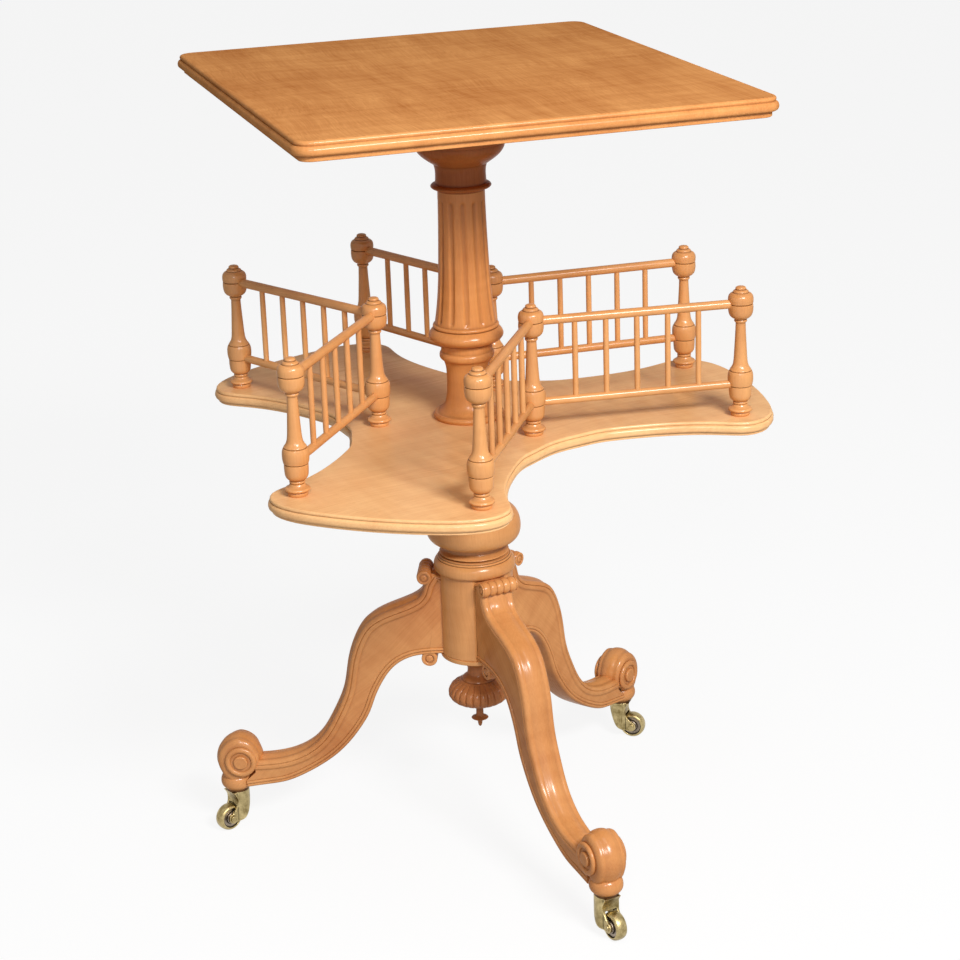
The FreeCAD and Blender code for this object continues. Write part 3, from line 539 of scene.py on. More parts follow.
def foot_scroll():
    """The toe that rolls over outward, with a ring and an eye at each end."""
    eye = leg_place(eye_share)
    way = [numpy.subtract(leg_place(share), eye) for share in foot_scroll_shares]
    angles = numpy.array([math.degrees(math.atan2(z, x)) for x, z in way])
    reaches = numpy.array([math.hypot(x, z) for x, z in way])
    seam = 193
    angles = numpy.concatenate((angles, (-90, -120, -seam)))
    reaches = numpy.concatenate((reaches, (24, 20, 21.5)))
    order = angles.argsort()

    def rolled(reach, level, turns):
        degrees = (numpy.degrees(turns) + seam) % 360 - seam
        own = numpy.interp(degrees, angles[order], reaches[order])
        return numpy.where(reach < 0, own + reach, reach)

    return scroll(eye, joined_runs(foot_runs, 0.9), 120, rolled)


def head_roll(beads):
    """The roll at the head of a leg: beads whose lower ends hang as a scalloped edge."""
    half, thin, thick = 18.2, 5.7, 7.5
    middle = (50.0, 283.0)
    lip, lip_swing, lip_fade = -22, 52, 9
    across = numpy.linspace(0, half, 60)[:-1]
    place = (across / half * beads / 2 + (0.5 if beads % 2 else 0)) % 1 * 2 - 1
    bulge = numpy.sqrt(numpy.maximum(1 - place ** 2, 0))
    line = numpy.column_stack((thin + (thick - thin) * bulge, across))
    line = numpy.concatenate((line, joined_runs(roll_end_runs, 0.6)))

    def hang(reach, level, turns):
        degrees = (numpy.degrees(turns) + 180) % 360 - 180
        curl = numpy.clip((reach - thin) / (thick - thin), 0, 1)
        end = lip - lip_swing * curl
        past = numpy.clip((end - degrees) / lip_fade, 0, 1) * (degrees > -150)
        beaded = numpy.abs(level) < half
        return numpy.where(beaded, reach - past * (reach - thin + 0.5), reach)

    return scroll(middle, line, 96, hang)


def leg_skins(beads):
    """All skins of a leg that stands along +X."""
    pad = moved(lathe(outline(pad_shares, 16.5, 18.0, leg_foot, 0.9), 72),
                Matrix.Translation((leg_seat + leg_run, 0, 0)))
    inner = scroll(leg_place(inner_scroll_share), joined_runs(inner_scroll_runs, 0.8), 64)
    return [leg_body(), pad, foot_scroll(), inner, head_roll(beads)]


# Castors

def soften(node, voxel, passes):
    """The mesh of a cast piece: the form of its node with the edges rounded off."""
    work = bpy.data.objects.new("cast_work", frame["nodes"][node].data.copy())
    bpy.context.scene.collection.objects.link(work)
    even = work.modifiers.new("even", "REMESH")
    even.mode = "VOXEL"
    even.voxel_size = voxel
    depsgraph = bpy.context.evaluated_depsgraph_get()
    mesh = bpy.data.meshes.new_from_object(work.evaluated_get(depsgraph))
    bpy.data.objects.remove(work)
    mesh.name = node + "_detail"
    mesh.materials.clear()
    places = numbers_of(mesh.vertices, "co", 3)
    start, end = numbers_of(mesh.edges, "vertices", 2, numpy.int32).T
    share = sum_around(numpy.ones(len(places)), start, end)[:, None]
    shrink, grow = 0.55, -0.56
    for turn in range(2 * passes):
        around = numpy.column_stack([sum_around(line, start, end) for line in places.T])
        pull = grow if turn % 2 else shrink
        places = places + pull * (around / share - places)
    mesh.vertices.foreach_set("co", places.ravel())
    mesh.update()
    return mesh


# Materials

def tint(red, green, blue):
    """The linear colour of a screen colour."""
    linear = []
    for value in (red / 255, green / 255, blue / 255):
        linear.append(value / 12.92 if value <= 0.04045 else ((value + 0.055) / 1.055) ** 2.4)
    return tuple(linear) + (1.0,)


def put(tree, kind, inputs, **options):
    """A new node with its options set and its inputs filled or linked."""
    made = tree.nodes.new(kind)
    for name, value in options.items():
        setattr(made, name, value)
    for key, value in inputs.items():
        if isinstance(value, bpy.types.NodeSocket):
            tree.links.new(value, made.inputs[key])
        else:
            made.inputs[key].default_value = value
    return made


def sum_of(tree, value, factor, base):
    """A value times a factor, plus a base."""
    return put(tree, "ShaderNodeMath", {0: value, 1: factor, 2: base},
               operation="MULTIPLY_ADD").outputs[0]


def swing(tree, value, factor, base):
    """Adds how far a noise is from its middle, times a factor, to a base."""
    middle = put(tree, "ShaderNodeMath", {0: value, 1: 0.5}, operation="SUBTRACT")
    return sum_of(tree, middle.outputs[0], factor, base)


def blend(tree, amount, first, second, kind="MIX"):
    """A mix of two colours."""
    return put(tree, "ShaderNodeMix", {0: amount, 6: first, 7: second}, data_type="RGBA",
               blend_type=kind).outputs[2]


def ramp(tree, value, low, high, start=0.0, end=1.0):
    """A value brought from one range to another and kept inside it."""
    inputs = {"Value": value, "From Min": low, "From Max": high, "To Min": start, "To Max": end}
    return put(tree, "ShaderNodeMapRange", inputs).outputs[0]


def grain_noise(tree, place, along, across, detail=2.0):
    """Noise with its own fineness along the grain and across it, in features per metre."""
    stretched = put(tree, "ShaderNodeVectorMath", {0: place, 1: (along, across, across)},
                    operation="MULTIPLY").outputs[0]
    return put(tree, "ShaderNodeTexNoise", {"Vector": stretched, "Scale": 1.0, "Detail": detail,
                                            "Roughness": 0.55}).outputs[0]


def new_group(name, inputs):
    """An empty node group that puts out a colour, a roughness and a height."""
    group = bpy.data.node_groups.new(name, "ShaderNodeTree")
    for label, default in inputs.items():
        kind = "Float"
        if isinstance(default, tuple):
            kind = "Color" if len(default) == 4 else "Vector"
        socket = group.interface.new_socket(label, in_out="INPUT", socket_type="NodeSocket" + kind)
        socket.default_value = default
    for label, kind in (("Color", "Color"), ("Roughness", "Float"), ("Height", "Float")):
        group.interface.new_socket(label, in_out="OUTPUT", socket_type="NodeSocket" + kind)
    return group, put(group, "NodeGroupInput", {}).outputs


def polished_wood_group():
    """Grain, curl, patches, pores, painted shade in hollows, and worn edges paled partly as a
    painted highlight.
    """
    group, given = new_group("polished_wood", {
        "Place": (0.0, 0.0, 0.0), "Groove": 0.0, "Edge": 0.0, "Pale": tint(214, 156, 98),
        "Deep": tint(168, 106, 56), "Pore And Hollow Shade": tint(60, 26, 12), "Streak": 1.0, "Curl": 0.4,
        "Hollow Shade Amount": 0.8, "Gloss": 0.3})
    place = given["Place"]
    sway = put(group, "ShaderNodeTexNoise", {"Vector": place, "Scale": 7.0, "Detail": 1.0})
    push = (0.03, 0.03, 0.03)
    sway = put(group, "ShaderNodeVectorMath", {0: sway.outputs[1], 1: push, 2: place},
               operation="MULTIPLY_ADD").outputs[0]
    bands = grain_noise(group, sway, 2.4, 62.0, 3.0)
    fibres = grain_noise(group, sway, 16.0, 640.0)
    curl = grain_noise(group, sway, 95.0, 14.0, 1.5)
    patch = grain_noise(group, place, 7.0, 13.0)
    pores = ramp(group, grain_noise(group, sway, 170.0, 2600.0, 1.0), 0.6, 0.75)
    amount = swing(group, bands, given["Streak"], 0.5)
    amount = swing(group, fibres, given["Streak"], amount)
    amount = swing(group, curl, given["Curl"], amount)
    amount = ramp(group, swing(group, patch, 1.0, amount), 0.1, 0.9)
    colour = blend(group, amount, given["Deep"], given["Pale"])
    colour = blend(group, sum_of(group, pores, 0.1, 0.0), colour, given["Pore And Hollow Shade"])
    # Painted shade: hollows are darkened toward the dark colour by the groove mask.
    painted_hollow_shade = put(group, "ShaderNodeMath", {0: given["Groove"], 1: given["Hollow Shade Amount"]},
               operation="MULTIPLY")
    colour = blend(group, painted_hollow_shade.outputs[0], colour, given["Pore And Hollow Shade"])
    # Edges paled toward the pale colour: worn wood, partly a painted highlight.
    colour = blend(group, sum_of(group, given["Edge"], 0.3, 0.0), colour, given["Pale"])
    rough = swing(group, fibres, 0.14, given["Gloss"])
    rough = sum_of(group, given["Groove"], 0.3, swing(group, patch, 0.12, rough))
    height = sum_of(group, pores, -0.4, sum_of(group, bands, 0.4, fibres))
    put(group, "NodeGroupOutput", {"Color": colour, "Roughness": rough, "Height": height})
    return group


def aged_metal_group():
    """Cast or turned metal with tarnish in its hollows, rubbed edges, and fine scratches."""
    group, given = new_group("aged_metal", {
        "Place": (0.0, 0.0, 0.0), "Groove": 0.0, "Edge": 0.0, "Bright": tint(205, 190, 130),
        "Dull": tint(120, 105, 60), "Tarnish": tint(45, 38, 25), "Gloss": 0.35})
    place = given["Place"]
    cloud = grain_noise(group, place, 120.0, 120.0, 4.0)
    spots = ramp(group, grain_noise(group, place, 900.0, 900.0, 2.0), 0.55, 0.75)
    lines = grain_noise(group, place, 60.0, 4000.0, 1.0)
    amount = ramp(group, swing(group, lines, 0.5, cloud), 0.3, 0.7)
    colour = blend(group, amount, given["Dull"], given["Bright"])
    colour = blend(group, sum_of(group, spots, 0.35, 0.0), colour, given["Tarnish"])
    colour = blend(group, given["Groove"], colour, given["Tarnish"])
    colour = blend(group, sum_of(group, given["Edge"], 0.6, 0.0), colour, given["Bright"])
    rough = swing(group, cloud, 0.2, swing(group, lines, 0.15, given["Gloss"]))
    rough = sum_of(group, given["Groove"], 0.35, rough)
    height = sum_of(group, spots, -0.5, sum_of(group, cloud, 0.8, lines))
    put(group, "NodeGroupOutput", {"Color": colour, "Roughness": rough, "Height": height})
    return group


def finish(slot):
    """The finish of a slot or a look, made when it is first asked for."""
    made = bpy.data.materials.get(slot + "_finish")
    if made is None:
        made = new_finish(slot, *finish_values()[slot])
    return made


def finish_values():
    """Each finish: group, metallic value, coat, reflection, bump depth in metres, group inputs."""
    look = bpy.context.scene.gallery_table_look
    wood, metal = "polished_wood", "aged_metal"
    honey = {"Pale": look.honey_pale, "Deep": look.honey_deep, "Pore And Hollow Shade": look.pore_and_hollow_shade}
    turning = {"Pale": look.turning_pale, "Deep": look.turning_deep, "Pore And Hollow Shade": look.pore_and_hollow_shade}
    # Paler wood for the shelf: painted light and sheen on the same wood as the top.
    shelf = {"Pale": look.lit_shelf_pale, "Deep": look.lit_shelf_deep, "Pore And Hollow Shade": look.pore_and_hollow_shade}
    # Darker wood for the capital: painted shade from the top above it.
    shade = {"Pale": look.shaded_capital_pale, "Deep": look.shaded_capital_deep, "Pore And Hollow Shade": look.pore_and_hollow_shade}
    leg = {"Pale": look.leg_pale, "Deep": look.leg_deep, "Pore And Hollow Shade": look.pore_and_hollow_shade, "Hollow Shade Amount": 0.33}
    drop = {"Pale": look.drop_pale, "Deep": look.drop_deep, "Pore And Hollow Shade": look.pore_and_hollow_shade}
    brass = {"Bright": look.brass_bright, "Dull": look.brass_dull}
    bronze = {"Bright": tint(120, 84, 52), "Dull": tint(62, 40, 26)}
    hub = {"Bright": tint(176, 162, 146), "Dull": tint(92, 78, 66)}
    steel = {"Bright": tint(205, 205, 200), "Dull": tint(130, 128, 122)}
    # Hollow Shade Amount sets how dark the painted shade in hollows is.
    flat = {"Streak": 0.7, "Curl": 0.5, "Hollow Shade Amount": 0.3}
    turned = {"Streak": 0.35, "Curl": 0.3, "Hollow Shade Amount": 0.7}
    return {
        "top_wood": (wood, 0.0, 0.6, 0.0, 0.00003, dict(honey, **flat)),
        "shelf_wood": (wood, 0.0, 0.8, 0.01, 0.00003, dict(shelf, **flat)),
        "turned_wood": (wood, 0.0, 0.8, 0.02, 0.00003, dict(turning, **turned)),
        "column_wood": (wood, 0.0, 0.6, 0.02, 0.00003, dict(honey, **turned)),
        "shaded_capital_wood": (wood, 0.0, 0.3, 0.02, 0.00003, dict(shade, **turned)),
        "gallery_wood": (wood, 0.0, 1.0, 0.02, 0.00003, dict(turning, **turned)),
        "carved_wood": (wood, 0.0, 0.8, 0.02, 0.00003, dict(leg, Streak=0.3, Curl=0.4)),
        "drop_wood": (wood, 0.0, 0.5, 0.02, 0.00004, dict(drop, Streak=0.4)),
        "dowel_wood": (wood, 0.0, 0.0, 0.3, 0.0001, dict(honey, Gloss=0.6)),
        "castor_brass": (metal, 1.0, 0.0, 0.5, 0.0001, brass),
        "plate_bronze": (metal, 1.0, 0.0, 0.5, 0.0001, bronze),
        "hub_metal": (metal, 1.0, 0.0, 0.5, 0.0001, hub),
        "bearing_brass": (metal, 1.0, 0.0, 0.5, 0.00005, dict(bronze, Gloss=0.3)),
        "rod_steel": (metal, 1.0, 0.0, 0.5, 0.00005, dict(steel, Gloss=0.25)),
        "screw_steel": (metal, 1.0, 0.0, 0.5, 0.00005, steel),
    }


def new_finish(slot, group_name, metallic, coat, mirror, depth, values, from_mesh=True):
    """A material whose colour, roughness and bump come from one of the node groups."""
    makers = {"polished_wood": polished_wood_group, "aged_metal": aged_metal_group}
    group = bpy.data.node_groups.get(group_name) or makers[group_name]()
    material = bpy.data.materials.new(slot + ("_finish" if from_mesh else "_plain_finish"))
    material.use_nodes = True
    tree = material.node_tree
    inputs = dict(values)
    if from_mesh:
        for label, name, output in (("Place", "grain_place", 1), ("Groove", "groove", 2),
                                    ("Edge", "edge", 2)):
            field = put(tree, "ShaderNodeAttribute", {}, attribute_name=name)
            inputs[label] = field.outputs[output]
    else:
        inputs["Place"] = put(tree, "ShaderNodeTexCoord", {}).outputs["Object"]
    look = put(tree, "ShaderNodeGroup", inputs, node_tree=group)
    bump = put(tree, "ShaderNodeBump", {"Height": look.outputs["Height"], "Distance": depth,
                                        "Strength": 0.6})
    shader = tree.nodes["Principled BSDF"]
    tree.links.new(look.outputs["Color"], shader.inputs["Base Color"])
    tree.links.new(look.outputs["Roughness"], shader.inputs["Roughness"])
    tree.links.new(bump.outputs[0], shader.inputs["Normal"])
    shader.inputs["Metallic"].default_value = metallic
    shader.inputs["Specular IOR Level"].default_value = mirror
    shader.inputs["Coat Roughness"].default_value = 0.22
    if coat:
        facing = put(tree, "ShaderNodeLayerWeight", {"Blend": 0.5}).outputs["Facing"]
        ahead = put(tree, "ShaderNodeMath", {0: sum_of(tree, facing, -1.0, 1.0), 1: 2.0},
                    operation="POWER")
        tree.links.new(sum_of(tree, ahead.outputs[0], coat, 0.0), shader.inputs["Coat Weight"])
    return material


# Properties

def screen_colour(name, description, *channels):
    """A colour property whose default is a screen colour."""
    return bpy.props.FloatVectorProperty(name=name, description=description, subtype="COLOR",
                                         size=4, min=0, max=1, default=tint(*channels))


class GalleryTableSizes(bpy.types.PropertyGroup):
    """Sizes and counts that a user may change"""
    flute_count: bpy.props.IntProperty(
        name="Flutes", description="Flutes round the column", default=12, min=3)
    flute_depth: bpy.props.FloatProperty(
        name="Flute depth", description="How deep a flute of the column is", default=0.0016,
        unit="LENGTH", precision=4)
    gadroon_count: bpy.props.IntProperty(
        name="Gadroons", description="Lobes round the drop", default=24, min=6)
    gadroon_depth: bpy.props.FloatProperty(
        name="Gadroon depth", description="How deep the valleys of the drop are", default=0.002,
        unit="LENGTH", precision=4)
    roll_bead_count: bpy.props.IntProperty(
        name="Roll beads", description="Beads on the roll at the head of a leg", default=5, min=1)
    spindle_count: bpy.props.IntProperty(
        name="Spindles", description="Spindles in a gallery panel", default=5, min=1)


class GalleryTableLook(bpy.types.PropertyGroup):
    """Colours and light that a user may change"""
    honey_pale: screen_colour("Pale honey", "Pale grain of top and column", 226, 158, 94)
    honey_deep: screen_colour("Deep honey", "Dark grain of top and column", 186, 116, 60)
    turning_pale: screen_colour("Pale turning", "Pale grain of other turnings", 233, 171, 108)
    turning_deep: screen_colour("Deep turning", "Dark grain of other turnings", 196, 130, 74)
    # The shelf's colours are paler than the top's: painted light and sheen on the same wood.
    lit_shelf_pale: screen_colour("Pale shelf", "Pale grain of the shelf", 248, 200, 141)
    lit_shelf_deep: screen_colour("Deep shelf", "Dark grain of the shelf", 226, 167, 111)
    # The capital's colours are darker than the column's: painted shade from the top above it.
    shaded_capital_pale: screen_colour("Pale capital", "Pale grain of the capital", 190, 118, 64)
    shaded_capital_deep: screen_colour("Deep capital", "Dark grain of the capital", 146, 80, 38)
    leg_pale: screen_colour("Pale leg", "Pale grain of the legs", 228, 164, 102)
    leg_deep: screen_colour("Deep leg", "Dark grain of the legs", 182, 110, 56)
    drop_pale: screen_colour("Pale drop", "Pale grain of the drop", 198, 128, 76)
    drop_deep: screen_colour("Deep drop", "Dark grain of the drop", 152, 90, 50)
    # Dark colour of the wood's pores, also used as painted shade in grooves and hollows.
    pore_and_hollow_shade: screen_colour("Pore and hollow shade", "Dark of pores and painted shade in grooves", 74, 32, 14)
    brass_bright: screen_colour("Rubbed brass", "Brass where it is rubbed bright", 206, 186, 136)
    brass_dull: screen_colour("Dull brass", "Brass where it has dulled", 126, 108, 66)
    light: bpy.props.FloatProperty(
        name="Light", description="Strength of all lamps", default=1.0, min=0, soft_max=2,
        subtype="FACTOR")


# Operators

def make_turned(node, shares, radius, low, high, segments=96, slot="turned_wood", warp=None,
                step=1.3, look=None):
    """Makes one turned piece between two levels."""
    line = outline(shares, radius, high - low, low, step)
    x, y = axis_of(node)
    place = Matrix.Translation((x, y, 0)) if math.hypot(x, y) > 1 else Matrix()
    add_piece(node, [moved(lathe(line, segments, warp), place)], slot, look=look)


def edge_rows(rim, runs, level, step):
    """Rings of points that carry a moulding round a rim."""
    rows = []
    for inset, height in joined_runs(runs, step):
        ring = rim(inset)
        rows.append(numpy.column_stack((ring, numpy.full(len(ring), level + height))))
    return rows


def make_turned_node(node, shares, segments=96, look=None):
    """Makes one turned piece as wide and high as its node."""
    low, high = box_of(node)
    make_turned(node, shares, high.x, low.z, high.z, segments, look=look)


class GALLERY_TABLE_OT_tabletop(bpy.types.Operator):
    """Makes the moulded top with its rounded corners"""
    bl_idname = "gallery_table.tabletop"
    bl_label = "Top"

    def execute(self, context):
        low, high = box_of("tabletop")
        corner = 18.0
        reach = Vector((high.x - corner, high.y - corner))
        turns = numpy.radians(numpy.arange(0, 91, 9))

        def rim(inset):
            rings = []
            for number, (x, y) in enumerate(((1, 1), (-1, 1), (-1, -1), (1, -1))):
                angles = turns + number * math.pi / 2
                middle = numpy.array((x * reach.x, y * reach.y))
                rings.append(middle + (corner - inset) * numpy.column_stack(
                    (numpy.cos(angles), numpy.sin(angles))))
            return numpy.concatenate(rings)

        rows = edge_rows(rim, top_edge_runs, low.z, 0.9)
        add_piece("tabletop", [shell(rows)], "top_wood", along=(0, 1, 0))
        return {"FINISHED"}


class GALLERY_TABLE_OT_capital(bpy.types.Operator):
    """Makes the turned capital under the top"""
    bl_idname = "gallery_table.capital"
    bl_label = "Capital"

    def execute(self, context):
        make_turned_node("capital", capital_shares, look="shaded_capital_wood")
        return {"FINISHED"}


class GALLERY_TABLE_OT_column(bpy.types.Operator):
    """Makes the fluted column"""
    bl_idname = "gallery_table.column"
    bl_label = "Column"

    def execute(self, context):
        sizes = context.scene.gallery_table_sizes
        foot = box_of("shelf")[1].z
        head = box_of("capital")[0].z
        cutter = 3.6
        depth = sizes.flute_depth / millimetre
        start_share, end_share = 0.444, 0.951
        low = foot + start_share * (head - foot)
        high = foot + end_share * (head - foot)
        pitch = 2 * math.pi / sizes.flute_count
        points_per_flute = 18

        def flute(reach, level, turns):
            across = ((turns + pitch) % pitch - pitch / 2) * reach
            past = numpy.maximum(numpy.maximum(low - level, level - high), 0)
            round_cut = numpy.sqrt(numpy.maximum(cutter ** 2 - across ** 2 - past ** 2, 0))
            return reach - numpy.maximum(round_cut - (cutter - depth), 0)

        radius = box_of("column_shaft")[1].x
        make_turned("column_shaft", column_shares, radius, foot, head,
                    points_per_flute * sizes.flute_count, warp=flute, look="column_wood")
        return {"FINISHED"}


class GALLERY_TABLE_OT_shelf(bpy.types.Operator):
    """Makes the shelf of three lobes with its moulded edge"""
    bl_idname = "gallery_table.shelf"
    bl_label = "Shelf"

    def execute(self, context):
        reach, half_width, bay, turn = 296.0, 113.0, 121.0, -4.25
        half = [(along * reach, across * half_width) for along, across in lobe_shares]
        chain = [(x, -y) for x, y in reversed(half)] + [(reach, 0)] + half
        chain.append((bay * math.cos(math.pi / 3), bay * math.sin(math.pi / 3)))
        points = []
        for lobe in range(3):
            angle = math.radians(turn + 120 * lobe)
            for x, y in chain:
                points.append((x * math.cos(angle) - y * math.sin(angle),
                               x * math.sin(angle) + y * math.cos(angle)))
        lap, steps, coarse = 6, 3, 100.0
        wanted = smooth_line(points[-lap:] + points + points[:lap + 1], coarse)
        wanted = wanted[steps * lap:-steps * lap - 1]
        way = numpy.roll(wanted, -1, axis=0) - numpy.roll(wanted, 1, axis=0)
        way /= numpy.linalg.norm(way, axis=1)[:, None]
        inward = numpy.column_stack((-way[:, 1], way[:, 0]))
        rows = edge_rows(lambda inset: wanted + inward * inset, shelf_edge_runs,
                         box_of("shelf")[0].z, 0.9)
        add_piece("shelf", [shell(rows)], "shelf_wood", along=(1, 0.2, 0))
        return {"FINISHED"}


class GALLERY_TABLE_OT_posts(bpy.types.Operator):
    """Makes the nine turned gallery posts"""
    bl_idname = "gallery_table.posts"
    bl_label = "Gallery Posts"

    def execute(self, context):
        names = ["inner_post_%d" % number for number in (1, 2, 3)]
        names += ["outer_post_%d" % number for number in range(1, 7)]
        foot = box_of("shelf")[1].z
        radius = 12.3
        for name in names:
            make_turned(name, post_shares, radius, foot, box_of(name)[1].z, 40, "gallery_wood",
                        step=1.6)
        return {"FINISHED"}


class GALLERY_TABLE_OT_rails(bpy.types.Operator):
    """Makes the rails and spindles of the six gallery panels"""
    bl_idname = "gallery_table.rails"
    bl_label = "Gallery Rails"

    def execute(self, context):
        count = context.scene.gallery_table_sizes.spindle_count
        bury = 6.0
        post_reach = 11.68
        end_share = 1.0
        top_radius, bottom_radius, spindle_radius = 4.4, 4.0, 2.8
        for panel in range(1, 7):
            inner = "inner_post_%d" % (((panel - 1) // 2 + (2 if panel % 2 else 0)) % 3 + 1)
            start = Vector(axis_of(inner) + (0,))
            end = Vector(axis_of("outer_post_%d" % panel) + (0,))
            way = (end - start).normalized()
            length = (end - start).length
            for name, radius in (("top_rail_%d" % panel, top_radius),
                                 ("bottom_rail_%d" % panel, bottom_radius)):
                level = Vector((0, 0, box_of(name)[1].z - radius))
                run = length - 2 * bury
                shares = numpy.linspace(0, 1, 36)
                swell = 0.985 + 0.015 * numpy.sin(math.pi * shares) ** 0.5
                swell = swell + 0.004 * numpy.sin(shares * 19 + panel)
                line = numpy.column_stack((radius * swell, shares * run))
                place = between(start + way * bury + level, end + level)
                add_piece(name, [moved(lathe(line, 32), place)], "gallery_wood", along=way)
            name = "spindles_%d" % panel
            low, high = box_of(name)
            step = (length - 2 * post_reach) / (count - 1 + 2 * end_share)
            skins = []
            for number in range(count):
                spot = start + way * (post_reach + step * (end_share + number))
                shares = numpy.linspace(0, 1, 24)
                swell = 0.95 + 0.05 * numpy.sin(math.pi * shares)
                swell = swell + 0.008 * numpy.sin(shares * 11 + number * 2 + panel)
                line = numpy.column_stack((spindle_radius * swell,
                                           low.z + shares * (high.z - low.z)))
                skins.append(moved(lathe(line, 24), Matrix.Translation(spot)))
            add_piece(name, skins, "gallery_wood")
        return {"FINISHED"}


class GALLERY_TABLE_OT_bowl(bpy.types.Operator):
    """Makes the turned bowl under the shelf"""
    bl_idname = "gallery_table.bowl"
    bl_label = "Bowl"

    def execute(self, context):
        make_turned_node("turntable_bowl", bowl_shares, 128)
        return {"FINISHED"}


class GALLERY_TABLE_OT_pedestal(bpy.types.Operator):
    """Makes the collar, the block with its leg seats, and the moulded cap"""
    bl_idname = "gallery_table.pedestal"
    bl_label = "Pedestal"

    def execute(self, context):
        radius = 38.0
        angles = [leg_angle(number) for number in (1, 2, 3)]

        def flats(reach, level, turns):
            for angle in angles:
                facing = numpy.maximum(numpy.cos(turns - angle), 0.01)
                reach = numpy.minimum(reach, leg_seat / facing)
            return reach

        make_turned_node("pedestal_collar", collar_shares, 128)
        low, high = box_of("pedestal_block")
        make_turned("pedestal_block", block_shares, radius, low.z, high.z, 240, warp=flats)
        make_turned_node("pedestal_cap", cap_shares, 128)
        return {"FINISHED"}


class GALLERY_TABLE_OT_drop(bpy.types.Operator):
    """Makes the gadrooned drop and its turned tip"""
    bl_idname = "gallery_table.drop"
    bl_label = "Drop"

    def execute(self, context):
        sizes = context.scene.gallery_table_sizes
        low = box_of("drop_finial")[0].z
        high = box_of("pedestal_cap")[0].z
        depth = sizes.gadroon_depth / millimetre
        start_share, stop_share, fade = 0.03, 0.465, 3.5
        start = low + start_share * (high - low)
        stop = low + stop_share * (high - low)
        pitch = 2 * math.pi / sizes.gadroon_count
        drop_radius, tip_radius = 31.2, 8.7

        def gadroon(reach, level, turns):
            across = (turns % pitch) / pitch * 2 - 1
            past = numpy.clip(numpy.minimum(level - start, stop - level) / fade, 0, 1)
            lobe = 1 - numpy.sqrt(numpy.maximum(1 - across ** 2, 0))
            return reach - depth * lobe * numpy.sqrt(past)

        make_turned("drop_finial", drop_shares, drop_radius, low, high,
                    10 * sizes.gadroon_count, warp=gadroon, step=1.0, look="drop_wood")
        tip_low = box_of("finial_tip")[0].z
        make_turned("finial_tip", tip_shares, tip_radius, tip_low, low, 48, look="drop_wood")
        return {"FINISHED"}


class GALLERY_TABLE_OT_legs(bpy.types.Operator):
    """Makes the three scrolled legs"""
    bl_idname = "gallery_table.legs"
    bl_label = "Legs"

    def execute(self, context):
        skins = leg_skins(context.scene.gallery_table_sizes.roll_bead_count)
        for number in (1, 2, 3):
            turn = Matrix.Rotation(leg_angle(number), 4, "Z")
            way = turn @ Vector((leg_run, 0, -leg_rise))
            add_piece("leg_%d" % number, [moved(skin, turn) for skin in skins], "carved_wood",
                      along=way)
        return {"FINISHED"}


class GALLERY_TABLE_OT_castors(bpy.types.Operator):
    """Makes the castors: plates, horns, axles and wheels"""
    bl_idname = "gallery_table.castors"
    bl_label = "Castors"

    def execute(self, context):
        rolls = {joint["child"]: joint for joint in frame["joints"]}
        hub_radius = 0.0104
        for number in (1, 2, 3):
            for name, voxel, passes, look in (("castor_plate_%d", 0.00035, 3, "plate_bronze"),
                                              ("castor_fork_%d", 0.0004, 8, None),
                                              ("castor_axle_%d", 0.00025, 6, None)):
                node = name % number
                add_mesh(node, soften(node, voxel, passes), "castor_brass", look=look)
            node = "castor_wheel_%d" % number
            mesh = soften(node, 0.0004, 5)
            add_mesh(node, mesh, "castor_brass")
            mesh.materials.append(finish("hub_metal"))
            roll = rolls["wheel_%d" % number]
            centre, axis = numpy.array(roll["pos_m"]), numpy.array(roll["axis"])
            places = numbers_of(mesh.polygons, "center", 3) - centre
            along = places @ axis
            reach = numpy.linalg.norm(places - along[:, None] * axis, axis=1)
            inner = (reach < hub_radius).astype(numpy.int32)
            mesh.polygons.foreach_set("material_index", inner)
        return {"FINISHED"}


class GALLERY_TABLE_OT_fittings(bpy.types.Operator):
    """Gives the screws, dowels and bearing their finishes"""
    bl_idname = "gallery_table.fittings"
    bl_label = "Fittings"

    def execute(self, context):
        slots = {
            "top_screws": "screw_steel", "bowl_screws": "screw_steel",
            "castor_screws": "screw_steel", "leg_dowels": "dowel_wood",
            "pivot_bushes": "bearing_brass", "thrust_washer": "bearing_brass",
            "pivot_spindle": "rod_steel", "retaining_nut": "rod_steel",
        }
        plain = {}
        for node, slot in slots.items():
            if slot not in plain:
                plain[slot] = new_finish(slot, *finish_values()[slot], from_mesh=False)
            piece = frame["nodes"][node]
            for place in piece.material_slots:
                place.material = plain[slot]
        return {"FINISHED"}


def seen_white(tree, camera_share):
    """How white a ray sees the studio: glossy and glass rays in full, camera rays by a share."""
    path = put(tree, "ShaderNodeLightPath", {}).outputs
    seen = sum_of(tree, path["Is Camera Ray"], camera_share, path["Is Glossy Ray"])
    seen = sum_of(tree, path["Is Transmission Ray"], 1.0, seen)
    return ramp(tree, seen, 0.0, 1.0), path["Is Camera Ray"]


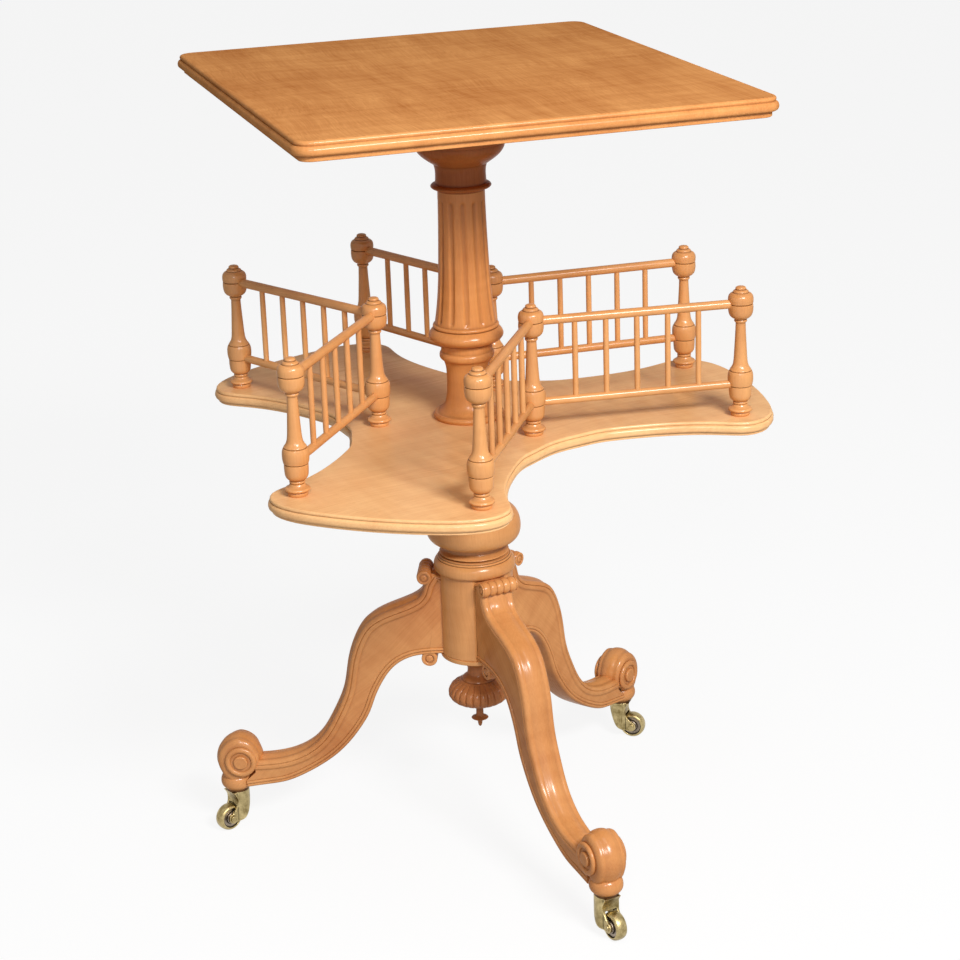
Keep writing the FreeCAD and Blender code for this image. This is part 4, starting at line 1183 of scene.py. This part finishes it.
class GALLERY_TABLE_OT_stage(bpy.types.Operator):
    """Makes the floor, the light and the camera"""
    bl_idname = "gallery_table.stage"
    bl_label = "Stage"

    def execute(self, context):
        scene = context.scene
        scene.view_settings.view_transform = "Standard"
        power = scene.gallery_table_look.light
        camera_data = bpy.data.cameras.new("camera")
        camera_data.lens = 88.45
        camera_data.clip_end = 200.0
        camera = bpy.data.objects.new("camera", camera_data)
        heading, tilt, roll = math.radians(-17.355), math.radians(70.548), math.radians(-1.994)
        camera.matrix_world = (
            Matrix.Translation((-0.6482, -2.1023, 1.15635)) @ Matrix.Rotation(heading, 4, "Z")
            @ Matrix.Rotation(tilt, 4, "X") @ Matrix.Rotation(roll, 4, "Z"))
        scene.collection.objects.link(camera)
        scene.camera = camera

        # Places of the lamps are across the camera's view, away from it, and up, and their
        # sizes are wide and high
        lamps = (
            ("key_lamp", (1.1, -2.07, 2.08), 0.9, 0.45, 72.0),
            ("overhead_lamp", (0.1, -0.9, 2.9), 1.2, 1.2, 10.0),
            ("fill_lamp", (-0.1, -2.6, 1.75), 0.35, 0.35, 15.0),
        )
        aim = Vector((0.0, 0.0, 0.4))
        facing = Matrix.Rotation(heading, 4, "Z")
        for name, spot, wide, high, watts in lamps:
            lamp_data = bpy.data.lights.new(name, "AREA")
            lamp_data.shape = "RECTANGLE"
            lamp_data.size, lamp_data.size_y = wide, high
            lamp_data.energy = watts * power
            lamp = bpy.data.objects.new(name, lamp_data)
            place = facing @ Vector(spot)
            turn = (aim - place).to_track_quat("-Z", "Y").to_matrix().to_4x4()
            lamp.matrix_world = Matrix.Translation(place) @ turn
            scene.collection.objects.link(lamp)

        world = bpy.data.worlds.new("studio")
        world.use_nodes = True
        tree = world.node_tree
        white = (1.0, 1.0, 1.0, 1.0)
        sky = blend(tree, seen_white(tree, 1.0)[0], (0.22, 0.22, 0.22, 1.0), white)
        background = tree.nodes["Background"]
        tree.links.new(sky, background.inputs["Color"])
        background.inputs["Strength"].default_value = 1.0
        scene.world = world

        half = 30.0
        floor_mesh = bpy.data.meshes.new("floor")
        floor_mesh.from_pydata([(-half, -half, 0), (half, -half, 0), (half, half, 0),
                                (-half, half, 0)], [], [(0, 1, 2, 3)])
        floor = bpy.data.objects.new("floor", floor_mesh)
        scene.collection.objects.link(floor)
        material = bpy.data.materials.new("pale_floor")
        material.use_nodes = True
        tree = material.node_tree
        tree.nodes.clear()
        seen, camera_ray = seen_white(tree, 0.88)
        shade = blend(tree, camera_ray, (0.55, 0.55, 0.55, 1.0), (0.95, 0.95, 0.95, 1.0))
        matt = put(tree, "ShaderNodeBsdfDiffuse", {"Color": shade})
        glow = put(tree, "ShaderNodeEmission", {"Color": white, "Strength": 1.0})
        mixed = put(tree, "ShaderNodeMixShader", {0: seen, 1: matt.outputs[0],
                                                  2: glow.outputs[0]})
        put(tree, "ShaderNodeOutputMaterial", {"Surface": mixed.outputs[0]})
        floor_mesh.materials.append(material)
        return {"FINISHED"}


operators = (
    GALLERY_TABLE_OT_stage, GALLERY_TABLE_OT_tabletop, GALLERY_TABLE_OT_capital,
    GALLERY_TABLE_OT_column, GALLERY_TABLE_OT_shelf, GALLERY_TABLE_OT_posts,
    GALLERY_TABLE_OT_rails, GALLERY_TABLE_OT_bowl, GALLERY_TABLE_OT_pedestal,
    GALLERY_TABLE_OT_drop, GALLERY_TABLE_OT_legs, GALLERY_TABLE_OT_castors,
    GALLERY_TABLE_OT_fittings,
)


class GALLERY_TABLE_PT_sidebar(bpy.types.Panel):
    """Lists the steps that build the table"""
    bl_idname = "GALLERY_TABLE_PT_sidebar"
    bl_label = "Revolving Gallery Table"
    bl_space_type = "VIEW_3D"
    bl_region_type = "UI"
    bl_category = "Table"

    def draw(self, context):
        for group in (context.scene.gallery_table_sizes, context.scene.gallery_table_look):
            box = self.layout.box()
            for name in group.__annotations__:
                box.prop(group, name)
        for operator in operators:
            self.layout.operator(operator.bl_idname)


groups = (GalleryTableSizes, GalleryTableLook)


def register():
    for part in groups + operators + (GALLERY_TABLE_PT_sidebar,):
        bpy.utils.register_class(part)
    bpy.types.Scene.gallery_table_sizes = bpy.props.PointerProperty(type=GalleryTableSizes)
    bpy.types.Scene.gallery_table_look = bpy.props.PointerProperty(type=GalleryTableLook)


def unregister():
    del bpy.types.Scene.gallery_table_sizes
    del bpy.types.Scene.gallery_table_look
    for part in reversed(groups + operators + (GALLERY_TABLE_PT_sidebar,)):
        bpy.utils.unregister_class(part)


def main():
    """Builds the whole table."""
    register()
    for operator in operators:
        family, name = operator.bl_idname.split(".")
        getattr(getattr(bpy.ops, family), name)()


if __name__ == "__main__":
    main()
